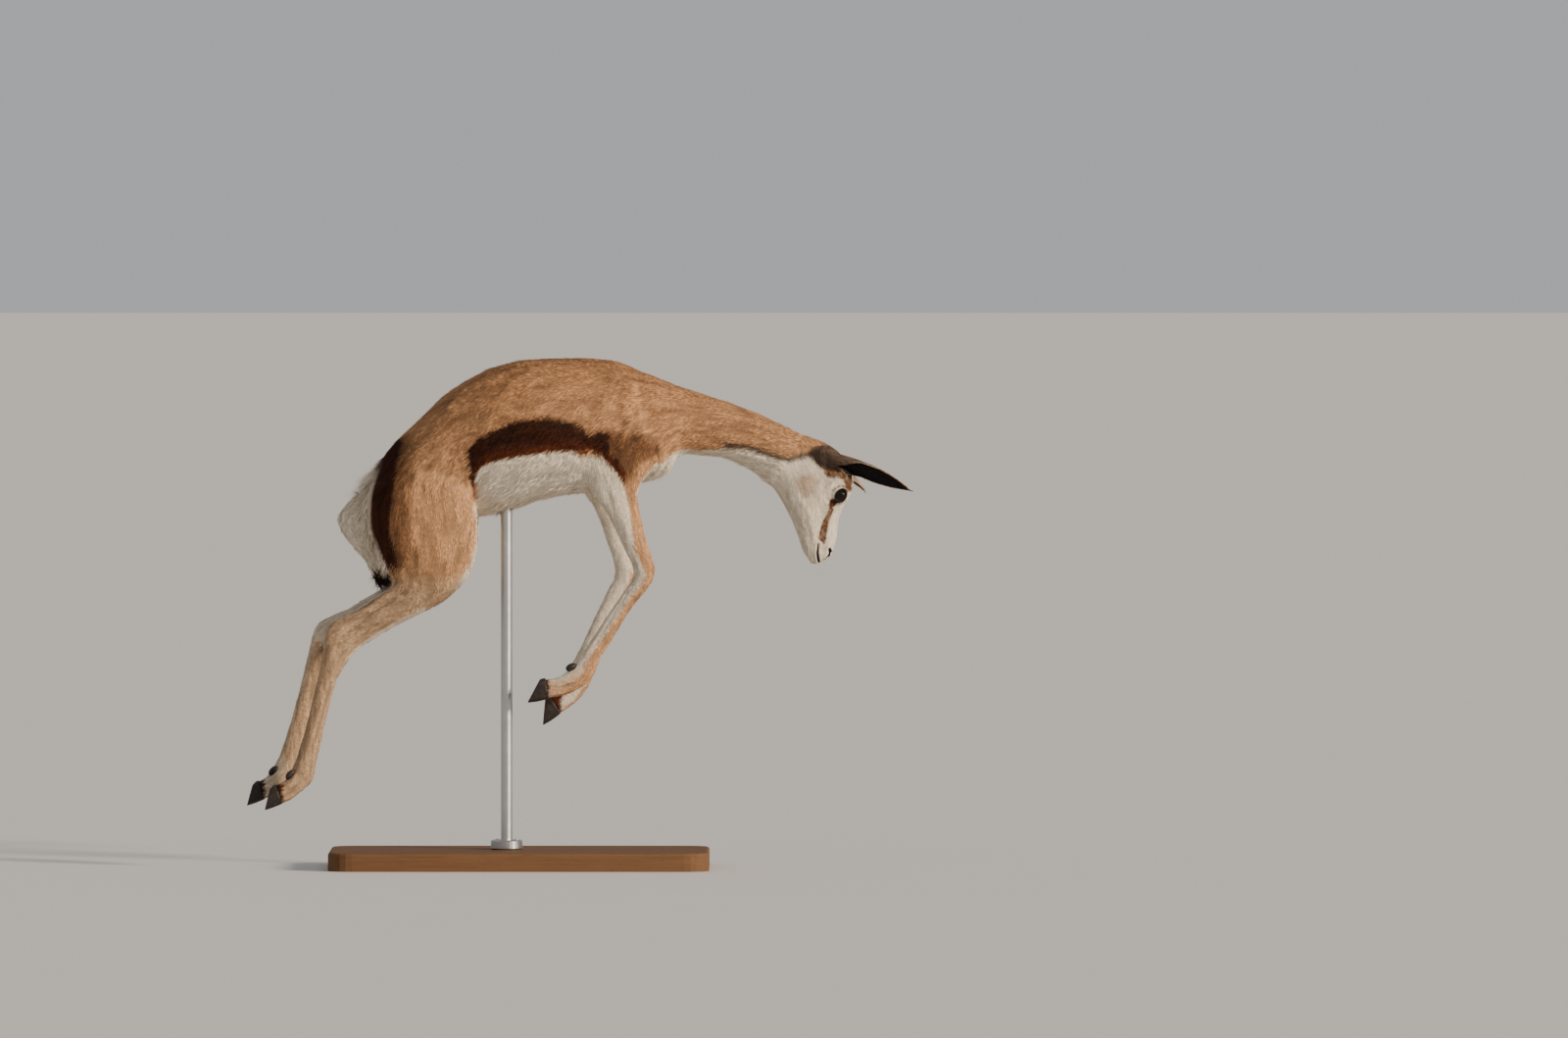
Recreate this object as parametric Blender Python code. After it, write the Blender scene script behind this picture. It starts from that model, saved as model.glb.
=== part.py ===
"""Young springbok in the high stiff-legged leap called a pronk, life size, on a plain rod stand.

Metres, +Z up. +X points to the head, +Y to the animal's left, and the base stands on Z = 0.
Outline sections are written in millimetres and turned to metres where they are lofted.
"""
import math
from collections import namedtuple

import bmesh
import bpy
import numpy as np
from mathutils import Matrix, Vector
from mathutils.bvhtree import BVHTree

MM = 0.001

# Driving sizes, in millimetres unless the name says otherwise
GAP = 0.3
BODY_VOXEL = 3.2
HEAD_VOXEL = 1.7
FOOT_VOXEL = 1.6
RING_SEGMENTS = 28
STEPS_BETWEEN = 4
SMALL_RING_SEGMENTS = 10

EYE_CENTRE = (523.0, 27.5, 610.0)
EYE_RADIUS = 14.0
EYE_AXIS = (0.16, 0.97, -0.10)
LID_THICKNESS = 1.9
LID_OPENING_LENGTH = 25.0
LID_OPENING_HEIGHT = 18.5
LID_TILT_DEG = 30.0

# The right ear stands up off the skull; the left one is held out sideways, so only its tip shows
Ear = namedtuple("Ear", "base tip opening")
EARS = {
    "right": Ear((506.0, -31.0, 670.5), (642.5, -66.0, 615.5), (-0.10, -0.90, -0.42)),
    "left": Ear((499.5, 30.0, 656.5), (566.5, 157.0, 609.5), (-0.52, -0.08, -0.85)),
}
EAR_WIDTH = 34.0
EAR_BASE_WIDTH = 25.0
EAR_THICKNESS = 2.6
EAR_STEM = 15.0

HORN_BUD = (537.0, 14.0, 640.0)
HORN_BUD_RADIUS = 8.0

MOUTH_WIDTH = 1.3
MOUTH_DEPTH = 3.0
NOSTRIL_WIDTH = 4.0
NOSTRIL_DEPTH = 3.5

CLAW_OFFSET = 10.0
CLAW_SPLAY = 2.0
DEWCLAW_RADIUS = 6.4
DEWCLAW_LENGTH = 16.0
DEWCLAW_OFFSET = 9.0
DEWCLAW_SPLAY = 0.25
EAR_ROOM = 1.7 * GAP

TAIL_LOCKS = 5
LOCK_WIDTH = 9.0
LOCK_THICKNESS = 5.0
TUFT_START = (-246.0, 0.0, 500.0)
TUFT_END = (-221.0, 0.0, 462.0)

BASE_LENGTH = 620.0
BASE_WIDTH = 320.0
BASE_HEIGHT = 30.0
BASE_CORNER = 40.0
BASE_EDGE = 4.0
ROD_X = -21.0
ROD_RADIUS = 9.5
ROD_SOCKET = 55.0
ROD_SINK = 18.0
COLLAR_RADIUS = 26.0
COLLAR_HEIGHT = 16.0
COLLAR_BEVEL = 2.0
ROUND_SEGMENTS = 32
BELLY_AT_ROD = 586.0

# Triangles kept by each node that comes from a fine skin
TORSO_TRIANGLES = 2000
NECK_TRIANGLES = 400
HEAD_TRIANGLES = 2800
LEG_TRIANGLES = 620
FOOT_TRIANGLES = 320
# Triangles of the neck, the head and the ankles that are cut off and dropped
POLL_TRIANGLES = 700

SIDES = {"right": -1.0, "left": 1.0}

# Ellipsoids that fill out muscles and joints, for the left side and mirrored for the right one
Mass = namedtuple("Mass", "centre radii tilt_deg", defaults=(0.0,))
BODY_MASSES = (
    Mass((168, 40, 728), (44, 25, 72), -8),    # shoulder blade
    Mass((160, 44, 664), (48, 26, 34), 20),    # upper arm
    Mass((222, 36, 672), (20, 17, 24)),        # point of the shoulder
    Mass((-140, 42, 640), (66, 33, 56), 35),   # thigh
    Mass((-200, 36, 588), (36, 33, 66), 10),   # back of the thigh
    Mass((-100, 44, 738), (26, 20, 15), 40),   # hip bone
)
HEAD_MASSES = (
    Mass((519, 26, 629), (16, 12, 12), -20),   # brow
    Mass((463, 15, 592), (22, 16, 38), -38),   # cheek
    Mass((500, 24, 672), (25, 17, 18), 22),    # root of the ear
    Mass((500, 7.5, 516), (11, 9.5, 14), 30),  # nostril wing
    Mass((492, 9, 519), (13, 8.5, 17)),        # upper lip
)
CHIN = Mass((482, 0, 505), (11, 12, 9.5))

# A section is a closed oval between two outline points in the XZ plane. Its widest place lies at the
# middle where wide is 0 and nearer the front point where it is higher; power 2 gives an ellipse.
Section = namedtuple("Section", "front rear offset half wide power", defaults=(0.0, 2.0))

# Torso and neck from the tail head to the throat; front is the back line, rear the belly line
TORSO_SECTIONS = (
    Section((-262, 590), (-236, 528), 0, 26),
    Section((-246, 634), (-211, 515), 0, 52),
    Section((-213, 684), (-179, 527), 0, 70),
    Section((-170, 727), (-144, 543), 0, 76),
    Section((-124, 772), (-102, 564), 0, 76),
    Section((-88, 796), (-69, 575), 0, 79),
    Section((-48, 816), (-38, 579), 0, 85),
    Section((0, 829), (0, 590), 0, 87),
    Section((48, 832), (42, 604), 0, 85),
    Section((99, 833), (90, 612), 0, 79),
    Section((147, 830), (138, 615), 0, 71),
    Section((184, 818), (176, 620), 0, 62),
    Section((213, 806), (211, 631), 0, 56),
    Section((240, 796), (242, 646), 0, 49),
)
NECK_SECTIONS = (
    Section((269, 785), (264, 674), 0, 41),
    Section((307, 773), (298, 673), 0, 35),
    Section((349, 759), (331, 670), 0, 32),
    Section((387, 745), (363, 658), 0, 31),
    Section((424, 728), (389, 642), 0, 30),
    Section((459, 710), (410, 623), 0, 30),
)
# Head from the poll to the lips; front is the forehead and nose line, rear the jaw line
HEAD_SECTIONS = (
    Section((492, 698), (416, 617), 0, 30, 0.05, 2.1),
    Section((515, 685), (426, 602), 0, 34, 0.15, 2.2),
    Section((533, 665), (434, 588), 0, 37, 0.30, 2.5),
    Section((544, 640), (442, 572), 0, 38.5, 0.42, 2.8),
    Section((543, 616), (450, 554), 0, 36, 0.42, 2.8),
    Section((532, 597), (456, 538), 0, 29, 0.30, 2.6),
    Section((525, 582), (459, 527), 0, 24, 0.16, 2.5),
    Section((520, 564), (462, 519), 0, 20.5, 0.06, 2.4),
    Section((519, 545), (465, 513), 0, 18, 0.06, 2.4),
    Section((514.5, 526), (470, 506), 0, 17, 0.12, 2.4),
    Section((507, 511), (475, 500), 0, 14.5, 0.10, 2.3),
    Section((499, 503), (481, 496), 0, 10, 0.0, 2.2),
)
HIND_SECTIONS = (
    Section((-112, 690), (-176, 668), 28, 12),
    Section((-96, 672), (-210, 646), 42, 27),
    Section((-78, 638), (-238, 614), 47, 37),
    Section((-69, 591), (-242, 569), 47, 38),
    Section((-66, 543), (-234, 526), 47, 35),
    Section((-74, 494), (-219, 489), 47, 30),
    Section((-98, 457), (-206, 471), 46, 25),
    Section((-130, 432), (-214, 458), 45, 21),
    Section((-178, 407), (-235, 444), 43, 18),
    Section((-221, 384), (-264, 424), 41, 15),
    Section((-253, 364), (-290, 412), 40, 13.5),
    Section((-270, 349), (-311, 398), 39, 14),
    Section((-287, 327), (-318, 366), 38, 15),
    Section((-298, 304), (-326, 326), 37, 12.5),
    Section((-307, 275), (-335, 287), 36, 10.5),
    Section((-315, 241), (-344, 249), 34, 10),
    Section((-324, 201), (-354, 212), 33, 10.5),
    Section((-331, 170), (-364, 180), 32, 12.5),
    Section((-336, 146), (-372, 161), 31, 15),
    Section((-352, 130), (-376, 154), 31, 13),
)
FORE_SECTIONS = (
    Section((172, 786), (126, 778), 24, 8),
    Section((206, 750), (112, 742), 42, 17),
    Section((232, 703), (107, 694), 47, 22),
    Section((219, 658), (107, 649), 46, 24),
    Section((198, 625), (118, 612), 45, 22),
    Section((195, 598), (133, 594), 44, 18.5),
    Section((201, 565), (152, 562), 43, 15),
    Section((210, 530), (167, 530), 42, 12.5),
    Section((218, 506), (181, 503), 41, 13.5),
    Section((222, 487), (187, 483), 40, 15),
    Section((217, 468), (182, 468), 39, 14),
    Section((204, 450), (174, 458), 38, 12),
    Section((184, 425), (159, 436), 37, 10),
    Section((167, 399), (141, 410), 36, 9.5),
    Section((150, 370), (123, 382), 34, 10),
    Section((135, 348), (107, 359), 33, 12),
    Section((125, 328), (92, 338), 32, 14.5),
    Section((114, 306), (83, 327), 32, 13),
)
HIND_DIGIT = (
    Section((-332, 160), (-364, 172), 3, 8),
    Section((-342, 139), (-371, 160), 6, 9),
    Section((-354, 127), (-376, 152), 8, 9),
    Section((-370, 114), (-384, 144), 9, 8.8),
    Section((-386, 107), (-396, 137), 10, 9.2),
    Section((-397, 102), (-404, 132), 10, 9.2),
)
FORE_DIGIT = (
    Section((132, 340), (103, 351), 3, 8),
    Section((120, 313), (92, 336), 6, 9),
    Section((99, 294), (79, 323), 8, 9),
    Section((74, 283), (62, 312), 9, 8.8),
    Section((48, 278), (43, 310), 10, 9.2),
    Section((36, 276), (32, 308), 10, 9.2),
)
HIND_CLAW = (
    Section((-386, 106.5), (-396.5, 137), 0, 9.2),
    Section((-400, 100.5), (-401, 136), 0, 8.8),
    Section((-415, 95.5), (-406, 131), 0, 7.8),
)
FORE_CLAW = (
    Section((48, 277.5), (43, 310.5), 0, 9.2),
    Section((32, 273.5), (39, 310.5), 0, 8.8),
    Section((13.5, 271), (34, 309), 0, 7.8),
)
TAIL_SECTIONS = (
    Section((-245, 632), (-238, 604), 0, 13),
    Section((-262, 617), (-236, 592), 0, 14),
    Section((-284, 594), (-234, 580), 0, 15),
    Section((-298, 568), (-232, 566), 0, 15),
    Section((-286, 541), (-230, 550), 0, 14),
    Section((-265, 516), (-226, 532), 0, 12),
    Section((-243, 490), (-218, 508), 0, 10),
    Section((-236, 476), (-221, 486), 0, 6),
)

# Where the legs differ: the left hind trails, the left knee is drawn back, the left forefoot hangs
LEFT_HIND_HEIGHTS = (100, 374, 520)
LEFT_HIND_SHIFT_X = (-31, -24, 0)
LEFT_HIND_SHIFT_Z = (5, 0, 0)
LEFT_FORE_HEIGHTS = (319, 486, 640)
LEFT_FORE_SHIFT_X = (-3, -32, -10)
LEFT_FORE_SHIFT_Z = (-6, 4, 0)
FETLOCK_PIVOT = (108, 322)
LEFT_FOREFOOT_TURN_DEG = 23.0

# Lines where one node ends and the next begins, each from its front point to its rear point
NECK_ROOT_CUT = ((269, 785), (264, 674))
POLL_CUT = ((470, 712), (416, 617))
STIFLE_CUT = ((-74, 496), (-219, 489))
HOCK_CUT = ((-277, 340), (-316, 383))
HIND_FETLOCK_CUT = ((-331, 170), (-364, 180))
ELBOW_CUT = ((198, 610), (118, 604))
KNEE_CUT = ((222, 487), (187, 483))
FORE_FETLOCK_CUT = ((135, 348), (107, 359))
HIND_CORONET_CUT = ((-386, 106.5), (-396.5, 137))
FORE_CORONET_CUT = ((48, 277.5), (43, 310.5))
TAIL_ROOT_CUT = ((-250, 588), (-262, 617))

# The blocks that part a leg from the torso: a shoulder outside inner_y, stepped in under the belly
Block = namedtuple("Block", "rear_x front_x inner_y top_z step_rear_z step_front_z")
HIND_BLOCK = Block(-500.0, -62.0, 24.0, 640.0, 390.0, 575.0)
FORE_BLOCK = Block(96.0, 246.0, 30.0, 690.0, 608.0, 642.0)
BLOCK_REACH = 700.0

for old in list(bpy.data.objects):
    bpy.data.objects.remove(old, do_unlink=True)

root = bpy.data.objects.new("springbok", None)
bpy.context.scene.collection.objects.link(root)


def material(name, colour, roughness, metallic=0.0):
    """Return a Principled material of one plain colour."""
    made = bpy.data.materials.new(name)
    made.use_nodes = True
    shader = made.node_tree.nodes["Principled BSDF"]
    shader.inputs["Base Color"].default_value = (*colour, 1.0)
    shader.inputs["Roughness"].default_value = roughness
    shader.inputs["Metallic"].default_value = metallic
    return made


def object_from(bm, name):
    """Turn a bmesh into a linked object with outward faces."""
    bmesh.ops.recalc_face_normals(bm, faces=bm.faces)
    mesh = bpy.data.meshes.new(name)
    bm.to_mesh(mesh)
    bm.free()
    made = bpy.data.objects.new(name, mesh)
    bpy.context.scene.collection.objects.link(made)
    return made


def discard(thing):
    """Remove a helper object with its mesh."""
    mesh = thing.data
    bpy.data.objects.remove(thing, do_unlink=True)
    bpy.data.meshes.remove(mesh)


def bake(thing):
    """Replace an object's mesh by its evaluated mesh and drop the modifiers."""
    bpy.context.view_layer.update()
    graph = bpy.context.evaluated_depsgraph_get()
    baked = bpy.data.meshes.new_from_object(thing.evaluated_get(graph))
    thing.modifiers.clear()
    old = thing.data
    thing.data = baked
    bpy.data.meshes.remove(old)


def duplicate(thing, name):
    """Return a linked copy of an object with its own mesh."""
    made = thing.copy()
    made.data = thing.data.copy()
    made.name = name
    bpy.context.scene.collection.objects.link(made)
    return made


def catmull(values, steps):
    """Return a smooth row of values that passes through every given row."""
    rows = np.array(values, dtype=float)
    padded = np.vstack([2 * rows[0] - rows[1], rows, 2 * rows[-1] - rows[-2]])
    smooth = []
    for index in range(len(rows) - 1):
        before, start, end, after = padded[index:index + 4]
        for step in range(steps):
            t = step / steps
            smooth.append(0.5 * (2 * start + (end - before) * t
                                 + (2 * before - 5 * start + 4 * end - after) * t ** 2
                                 + (3 * start - before - 3 * end + after) * t ** 3))
    smooth.append(rows[-1])
    return np.array(smooth)


def loft(bm, sections, side=0.0, offset=0.0, steps=STEPS_BETWEEN, segments=RING_SEGMENTS, splay=0.0):
    """Add a closed body through oval sections; side mirrors the offsets across the midline."""
    rows = [(*s.front, *s.rear, s.offset, s.half, s.wide, s.power) for s in sections]
    rows = catmull(rows, steps)
    rings = []
    for index, (front_x, front_z, rear_x, rear_z, centre_y, half, wide, power) in enumerate(rows):
        shift = offset + splay * index / (len(rows) - 1)
        ring = []
        for step in range(segments):
            angle = 2 * math.pi * step / segments
            along = math.copysign(abs(math.cos(angle)) ** (2 / power), math.cos(angle))
            across = math.copysign(abs(math.sin(angle)) ** (2 / power), math.sin(angle))
            reach = wide + (1 - wide) * along if along > 0 else wide + (1 + wide) * along
            share = (1 + reach) / 2
            x = rear_x + (front_x - rear_x) * share
            z = rear_z + (front_z - rear_z) * share
            y = side * centre_y + shift + half * across
            ring.append(bm.verts.new(Vector((x, y, z)) * MM))
        rings.append(ring)
    for first, second in zip(rings, rings[1:]):
        for step in range(segments):
            after = (step + 1) % segments
            bm.faces.new((first[step], first[after], second[after], second[step]))
    bm.faces.new(rings[0])
    bm.faces.new(rings[-1])


def add_mass(bm, mass, side=1.0, segments=24):
    """Add an ellipsoid, tilted in the XZ plane, on one side of the midline."""
    place = Matrix.Translation(mirrored(mass.centre, side) * MM)
    turn = Matrix.Rotation(math.radians(mass.tilt_deg), 4, "Y")
    size = Matrix.Diagonal((*(radius * MM for radius in mass.radii), 1.0))
    bmesh.ops.create_uvsphere(bm, u_segments=segments, v_segments=segments // 2, radius=1.0,
                              matrix=place @ turn @ size)


def moved(sections, heights, shift_x, shift_z):
    """Return leg sections moved by an amount that depends on their height."""
    def place(point):
        x, z = point
        return (x + np.interp(z, heights, shift_x), z + np.interp(z, heights, shift_z))
    return tuple(s._replace(front=place(s.front), rear=place(s.rear)) for s in sections)


def turned(sections, pivot, angle_deg, slide=(0, 0)):
    """Return foot sections turned about the fetlock and slid with the leg."""
    return tuple(s._replace(front=turned_point(s.front, pivot, angle_deg, slide),
                            rear=turned_point(s.rear, pivot, angle_deg, slide)) for s in sections)


def turned_point(point, pivot, angle_deg, slide=(0, 0)):
    """Turn one outline point about a pivot in the XZ plane, then slide it."""
    angle = math.radians(angle_deg)
    x = point[0] - pivot[0]
    z = point[1] - pivot[1]
    return (pivot[0] + x * math.cos(angle) - z * math.sin(angle) + slide[0],
            pivot[1] + x * math.sin(angle) + z * math.cos(angle) + slide[1])


def fine_skin(bm, name, voxel, soft_steps, keep, low_soft=None):
    """Fuse overlapping bodies into one even skin, soften it and thin its mesh."""
    made = object_from(bm, name)
    remesh = made.modifiers.new("fuse", "REMESH")
    remesh.mode = "VOXEL"
    remesh.voxel_size = voxel * MM
    bake(made)
    if low_soft:
        group = made.vertex_groups.new(name="soft")
        for vertex in made.data.vertices:
            height = vertex.co.z / MM
            weight = float(np.interp(height, low_soft, (0.1, 1.0)))
            group.add([vertex.index], weight, "REPLACE")
    smooth = made.modifiers.new("soften", "SMOOTH")
    smooth.factor = 0.5
    smooth.iterations = soft_steps
    if low_soft:
        smooth.vertex_group = "soft"
    bake(made)
    thin(made, keep)
    return made


def thin(thing, keep):
    """Thin a mesh to about the given number of triangles."""
    triangles = sum(len(face.vertices) - 2 for face in thing.data.polygons)
    if triangles <= keep:
        return
    decimate = thing.modifiers.new("thin", "DECIMATE")
    decimate.ratio = keep / triangles
    bake(thing)


def keep_largest(thing):
    """Keep only the largest closed surface of a mesh."""
    bm = bmesh.new()
    bm.from_mesh(thing.data)
    unseen = set(bm.faces)
    islands = []
    while unseen:
        stack = [unseen.pop()]
        island = set(stack)
        while stack:
            for edge in stack.pop().edges:
                for other in edge.link_faces:
                    if other in unseen:
                        unseen.remove(other)
                        island.add(other)
                        stack.append(other)
        islands.append(island)
    islands.sort(key=len)
    for island in islands[:-1]:
        bmesh.ops.delete(bm, geom=list(island), context="FACES")
    bm.to_mesh(thing.data)
    bm.free()


def cut(thing, tool, operation="DIFFERENCE"):
    """Apply one Boolean and keep the largest closed surface."""
    tool.hide_render = True
    tool.display_type = "WIRE"
    boolean = thing.modifiers.new("cut", "BOOLEAN")
    boolean.operation = operation
    boolean.solver = "EXACT"
    boolean.object = tool
    bake(thing)
    discard(tool)
    keep_largest(thing)


def plane_of(line):
    """Return the middle and the unit normal of a cut line, with the normal towards the limb's end."""
    front = Vector((line[0][0], 0, line[0][1])) * MM
    rear = Vector((line[1][0], 0, line[1][1])) * MM
    along = (front - rear).normalized()
    return (front + rear) / 2, Vector((0, 1, 0)).cross(along)


def sliced(thing, line, name):
    """Part an object along a line; the far piece is returned and the near piece stays."""
    middle, normal = plane_of(line)
    far = duplicate(thing, name)
    for piece, sign in ((thing, 1.0), (far, -1.0)):
        bm = bmesh.new()
        bm.from_mesh(piece.data)
        geometry = list(bm.verts) + list(bm.edges) + list(bm.faces)
        shift = normal * (-sign * GAP * MM / 2)
        bmesh.ops.bisect_plane(bm, geom=geometry, dist=1e-7, plane_co=middle + shift,
                               plane_no=normal * sign, clear_outer=True)
        open_edges = [edge for edge in bm.edges if edge.is_boundary]
        bmesh.ops.edgeloop_fill(bm, edges=open_edges)
        bmesh.ops.recalc_face_normals(bm, faces=bm.faces)
        bm.to_mesh(piece.data)
        bm.free()
        keep_largest(piece)
    return far


def leg_block(name, bounds, side, grow):
    """Return the stepped block that holds one leg, grown on its inner, upper and end faces."""
    bm = bmesh.new()
    rings = []
    inner = bounds.inner_y - grow
    midline = GAP - grow / 2
    for x, step_z in ((bounds.rear_x - grow, bounds.step_rear_z), (bounds.front_x + grow, bounds.step_front_z)):
        profile = ((inner, bounds.top_z + grow), (BLOCK_REACH, bounds.top_z + grow),
                   (BLOCK_REACH, -BLOCK_REACH), (midline, -BLOCK_REACH),
                   (midline, step_z + grow), (inner, step_z + grow))
        rings.append([bm.verts.new(Vector((x, side * y, z)) * MM) for y, z in profile])
    count = len(rings[0])
    for step in range(count):
        after = (step + 1) % count
        bm.faces.new((rings[0][step], rings[0][after], rings[1][after], rings[1][step]))
    bm.faces.new(rings[0])
    bm.faces.new(rings[1])
    return object_from(bm, name)


def swollen(thing, amount, name):
    """Return a copy of an object with its surface moved outwards."""
    made = duplicate(thing, name)
    normals = [vertex.normal.copy() for vertex in made.data.vertices]
    for vertex, normal in zip(made.data.vertices, normals):
        vertex.co += normal * (amount * MM)
    return made


def along_axis(axis):
    """Return the rotation that turns +Z to an axis."""
    return Vector((0, 0, 1)).rotation_difference(Vector(axis).normalized()).to_matrix().to_4x4()


def mirrored(point, side):
    """Return a point or direction of the left side, mirrored for the right one."""
    return Vector((point[0], point[1] * side, point[2]))


# One skin for torso, neck and legs, parted afterwards
def leg_sections(side_name):
    """Return the hind and fore sections of one side."""
    if side_name == "right":
        return HIND_SECTIONS, FORE_SECTIONS
    return (moved(HIND_SECTIONS, LEFT_HIND_HEIGHTS, LEFT_HIND_SHIFT_X, LEFT_HIND_SHIFT_Z),
            moved(FORE_SECTIONS, LEFT_FORE_HEIGHTS, LEFT_FORE_SHIFT_X, LEFT_FORE_SHIFT_Z))


def body_masses(bm):
    """Fill out the muscles that the plain sections leave flat."""
    for side in SIDES.values():
        for mass in BODY_MASSES:
            add_mass(bm, mass, side)


def head_masses(bm):
    """Fill out brows, cheeks, ear roots, lips and chin."""
    for side in SIDES.values():
        add_mass(bm, Mass(EYE_CENTRE, (EYE_RADIUS + LID_THICKNESS,) * 3), side)
        add_mass(bm, Mass(HORN_BUD, (HORN_BUD_RADIUS,) * 3), side)
        for mass in HEAD_MASSES:
            add_mass(bm, mass, side)
    add_mass(bm, CHIN)


def neck_and_head(bm):
    """Add the neck and head bodies, which two skins share so that they meet evenly."""
    loft(bm, TORSO_SECTIONS[-2:] + NECK_SECTIONS + HEAD_SECTIONS[:3])
    loft(bm, HEAD_SECTIONS)
    head_masses(bm)


body_bm = bmesh.new()
loft(body_bm, TORSO_SECTIONS + NECK_SECTIONS[:3])
neck_and_head(body_bm)
body_masses(body_bm)
for side_name, side in SIDES.items():
    hind, fore = leg_sections(side_name)
    loft(body_bm, hind, side=side)
    loft(body_bm, fore, side=side)
BODY_TRIANGLES = TORSO_TRIANGLES + NECK_TRIANGLES + 4 * LEG_TRIANGLES + POLL_TRIANGLES
body = fine_skin(body_bm, "torso", BODY_VOXEL, 14, BODY_TRIANGLES, low_soft=(520, 600))

# Legs parted from the torso by blocks, then sliced at their joints
legs = {}
for side_name, side in SIDES.items():
    for kind, bounds in (("hind", HIND_BLOCK), ("fore", FORE_BLOCK)):
        leg = duplicate(body, f"leg_{kind}_{side_name}_upper")
        cut(leg, leg_block("inner", bounds, side, 0.0), operation="INTERSECT")
        legs[kind, side_name] = leg
for side_name, side in SIDES.items():
    for kind, bounds in (("hind", HIND_BLOCK), ("fore", FORE_BLOCK)):
        cut(body, leg_block("outer", bounds, side, GAP))

neck = sliced(body, NECK_ROOT_CUT, "neck")
discard(sliced(neck, POLL_CUT, "poll"))


def moved_line(line, kind, side_name):
    """Move a cut line with the left leg."""
    if side_name == "right":
        return line
    if kind == "hind":
        table = (LEFT_HIND_HEIGHTS, LEFT_HIND_SHIFT_X, LEFT_HIND_SHIFT_Z)
    else:
        table = (LEFT_FORE_HEIGHTS, LEFT_FORE_SHIFT_X, LEFT_FORE_SHIFT_Z)
    whole = moved((Section(line[0], line[1], 0, 0),), *table)[0]
    return (whole.front, whole.rear)


def foot_placed(sections, kind, side_name):
    """Place foot sections under their leg."""
    if side_name == "right":
        return sections
    if kind == "hind":
        return moved(sections, LEFT_HIND_HEIGHTS, LEFT_HIND_SHIFT_X, LEFT_HIND_SHIFT_Z)
    slide = (LEFT_FORE_SHIFT_X[0], LEFT_FORE_SHIFT_Z[0])
    return turned(sections, FETLOCK_PIVOT, LEFT_FOREFOOT_TURN_DEG, slide)


def foot_line(line, kind, side_name):
    """Place a cut line under its leg."""
    whole = foot_placed((Section(line[0], line[1], 0, 0),), kind, side_name)[0]
    return (whole.front, whole.rear)


CUTS = {"hind": (STIFLE_CUT, HOCK_CUT, HIND_FETLOCK_CUT), "fore": (ELBOW_CUT, KNEE_CUT, FORE_FETLOCK_CUT)}
NAMES = {"hind": ("shank", "cannon"), "fore": ("forearm", "cannon")}
DIGITS = {"hind": HIND_DIGIT, "fore": FORE_DIGIT}
CLAWS = {"hind": HIND_CLAW, "fore": FORE_CLAW}
CORONETS = {"hind": HIND_CORONET_CUT, "fore": FORE_CORONET_CUT}
DEWCLAW_ROOT = {"hind": (-371, 156), "fore": (88, 330)}
DEWCLAW_AXIS = {"hind": (-0.72, -0.69), "fore": (-0.93, -0.36)}

legs_made = []
claws_made = []
for (kind, side_name), leg in legs.items():
    side = SIDES[side_name]
    stem = f"leg_{kind}_{side_name}"
    upper_cut, middle_cut, fetlock_cut = (moved_line(line, kind, side_name) for line in CUTS[kind])
    lower = sliced(leg, upper_cut, f"{stem}_{NAMES[kind][0]}")
    cannon = sliced(lower, middle_cut, f"{stem}_{NAMES[kind][1]}")
    discard(sliced(cannon, fetlock_cut, "fetlock"))
    legs_made += [leg, lower, cannon]

    sections = leg_sections(side_name)[0 if kind == "hind" else 1]
    centre_y = side * sections[-1].offset
    foot_bm = bmesh.new()
    loft(foot_bm, sections[-5:], side=side)
    placed = foot_placed(DIGITS[kind], kind, side_name)
    for digit in (-1.0, 1.0):
        loft(foot_bm, placed, side=digit, offset=centre_y, segments=20)
    whole_foot = fine_skin(foot_bm, "whole_foot", FOOT_VOXEL, 4, FOOT_TRIANGLES)
    foot = sliced(whole_foot, fetlock_cut, f"{stem}_foot")
    discard(whole_foot)
    coronet_cut = foot_line(CORONETS[kind], kind, side_name)
    discard(sliced(foot, coronet_cut, "ends"))
    legs_made.append(foot)

    for digit, digit_name in ((-1.0, "a"), (1.0, "b")):
        claw_bm = bmesh.new()
        loft(claw_bm, foot_placed(CLAWS[kind], kind, side_name), steps=2, segments=SMALL_RING_SEGMENTS,
             offset=centre_y + digit * CLAW_OFFSET, splay=digit * CLAW_SPLAY)
        claw = object_from(claw_bm, f"{stem}_claw_{digit_name}")
        middle, normal = plane_of(coronet_cut)
        for vertex in claw.data.vertices:
            depth = (vertex.co - middle).dot(normal)
            if depth < GAP * MM / 2 + 1e-5:
                vertex.co += normal * (GAP * MM / 2 - depth)
        claws_made.append(claw)

        root_point = foot_placed((Section(DEWCLAW_ROOT[kind], (0, 0), 0, 0),), kind, side_name)[0].front
        turn = LEFT_FOREFOOT_TURN_DEG if (kind, side_name) == ("fore", "left") else 0.0
        axis_2d = turned_point(DEWCLAW_AXIS[kind], (0, 0), turn)
        axis = Vector((axis_2d[0], digit * DEWCLAW_SPLAY, axis_2d[1])).normalized()
        dew_bm = bmesh.new()
        middle = Vector((root_point[0], centre_y + digit * DEWCLAW_OFFSET, root_point[1]))
        middle += axis * DEWCLAW_LENGTH * 0.2
        size = Matrix.Diagonal((DEWCLAW_RADIUS * MM, DEWCLAW_RADIUS * 0.8 * MM, DEWCLAW_LENGTH * 0.62 * MM, 1.0))
        bmesh.ops.create_uvsphere(dew_bm, u_segments=7, v_segments=5, radius=1.0,
                                  matrix=Matrix.Translation(middle * MM) @ along_axis(axis) @ size)
        dewclaw = object_from(dew_bm, f"{stem}_dewclaw_{digit_name}")
        cut(foot, swollen(dewclaw, GAP, "dewclaw_room"))
        claws_made.append(dewclaw)

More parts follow.
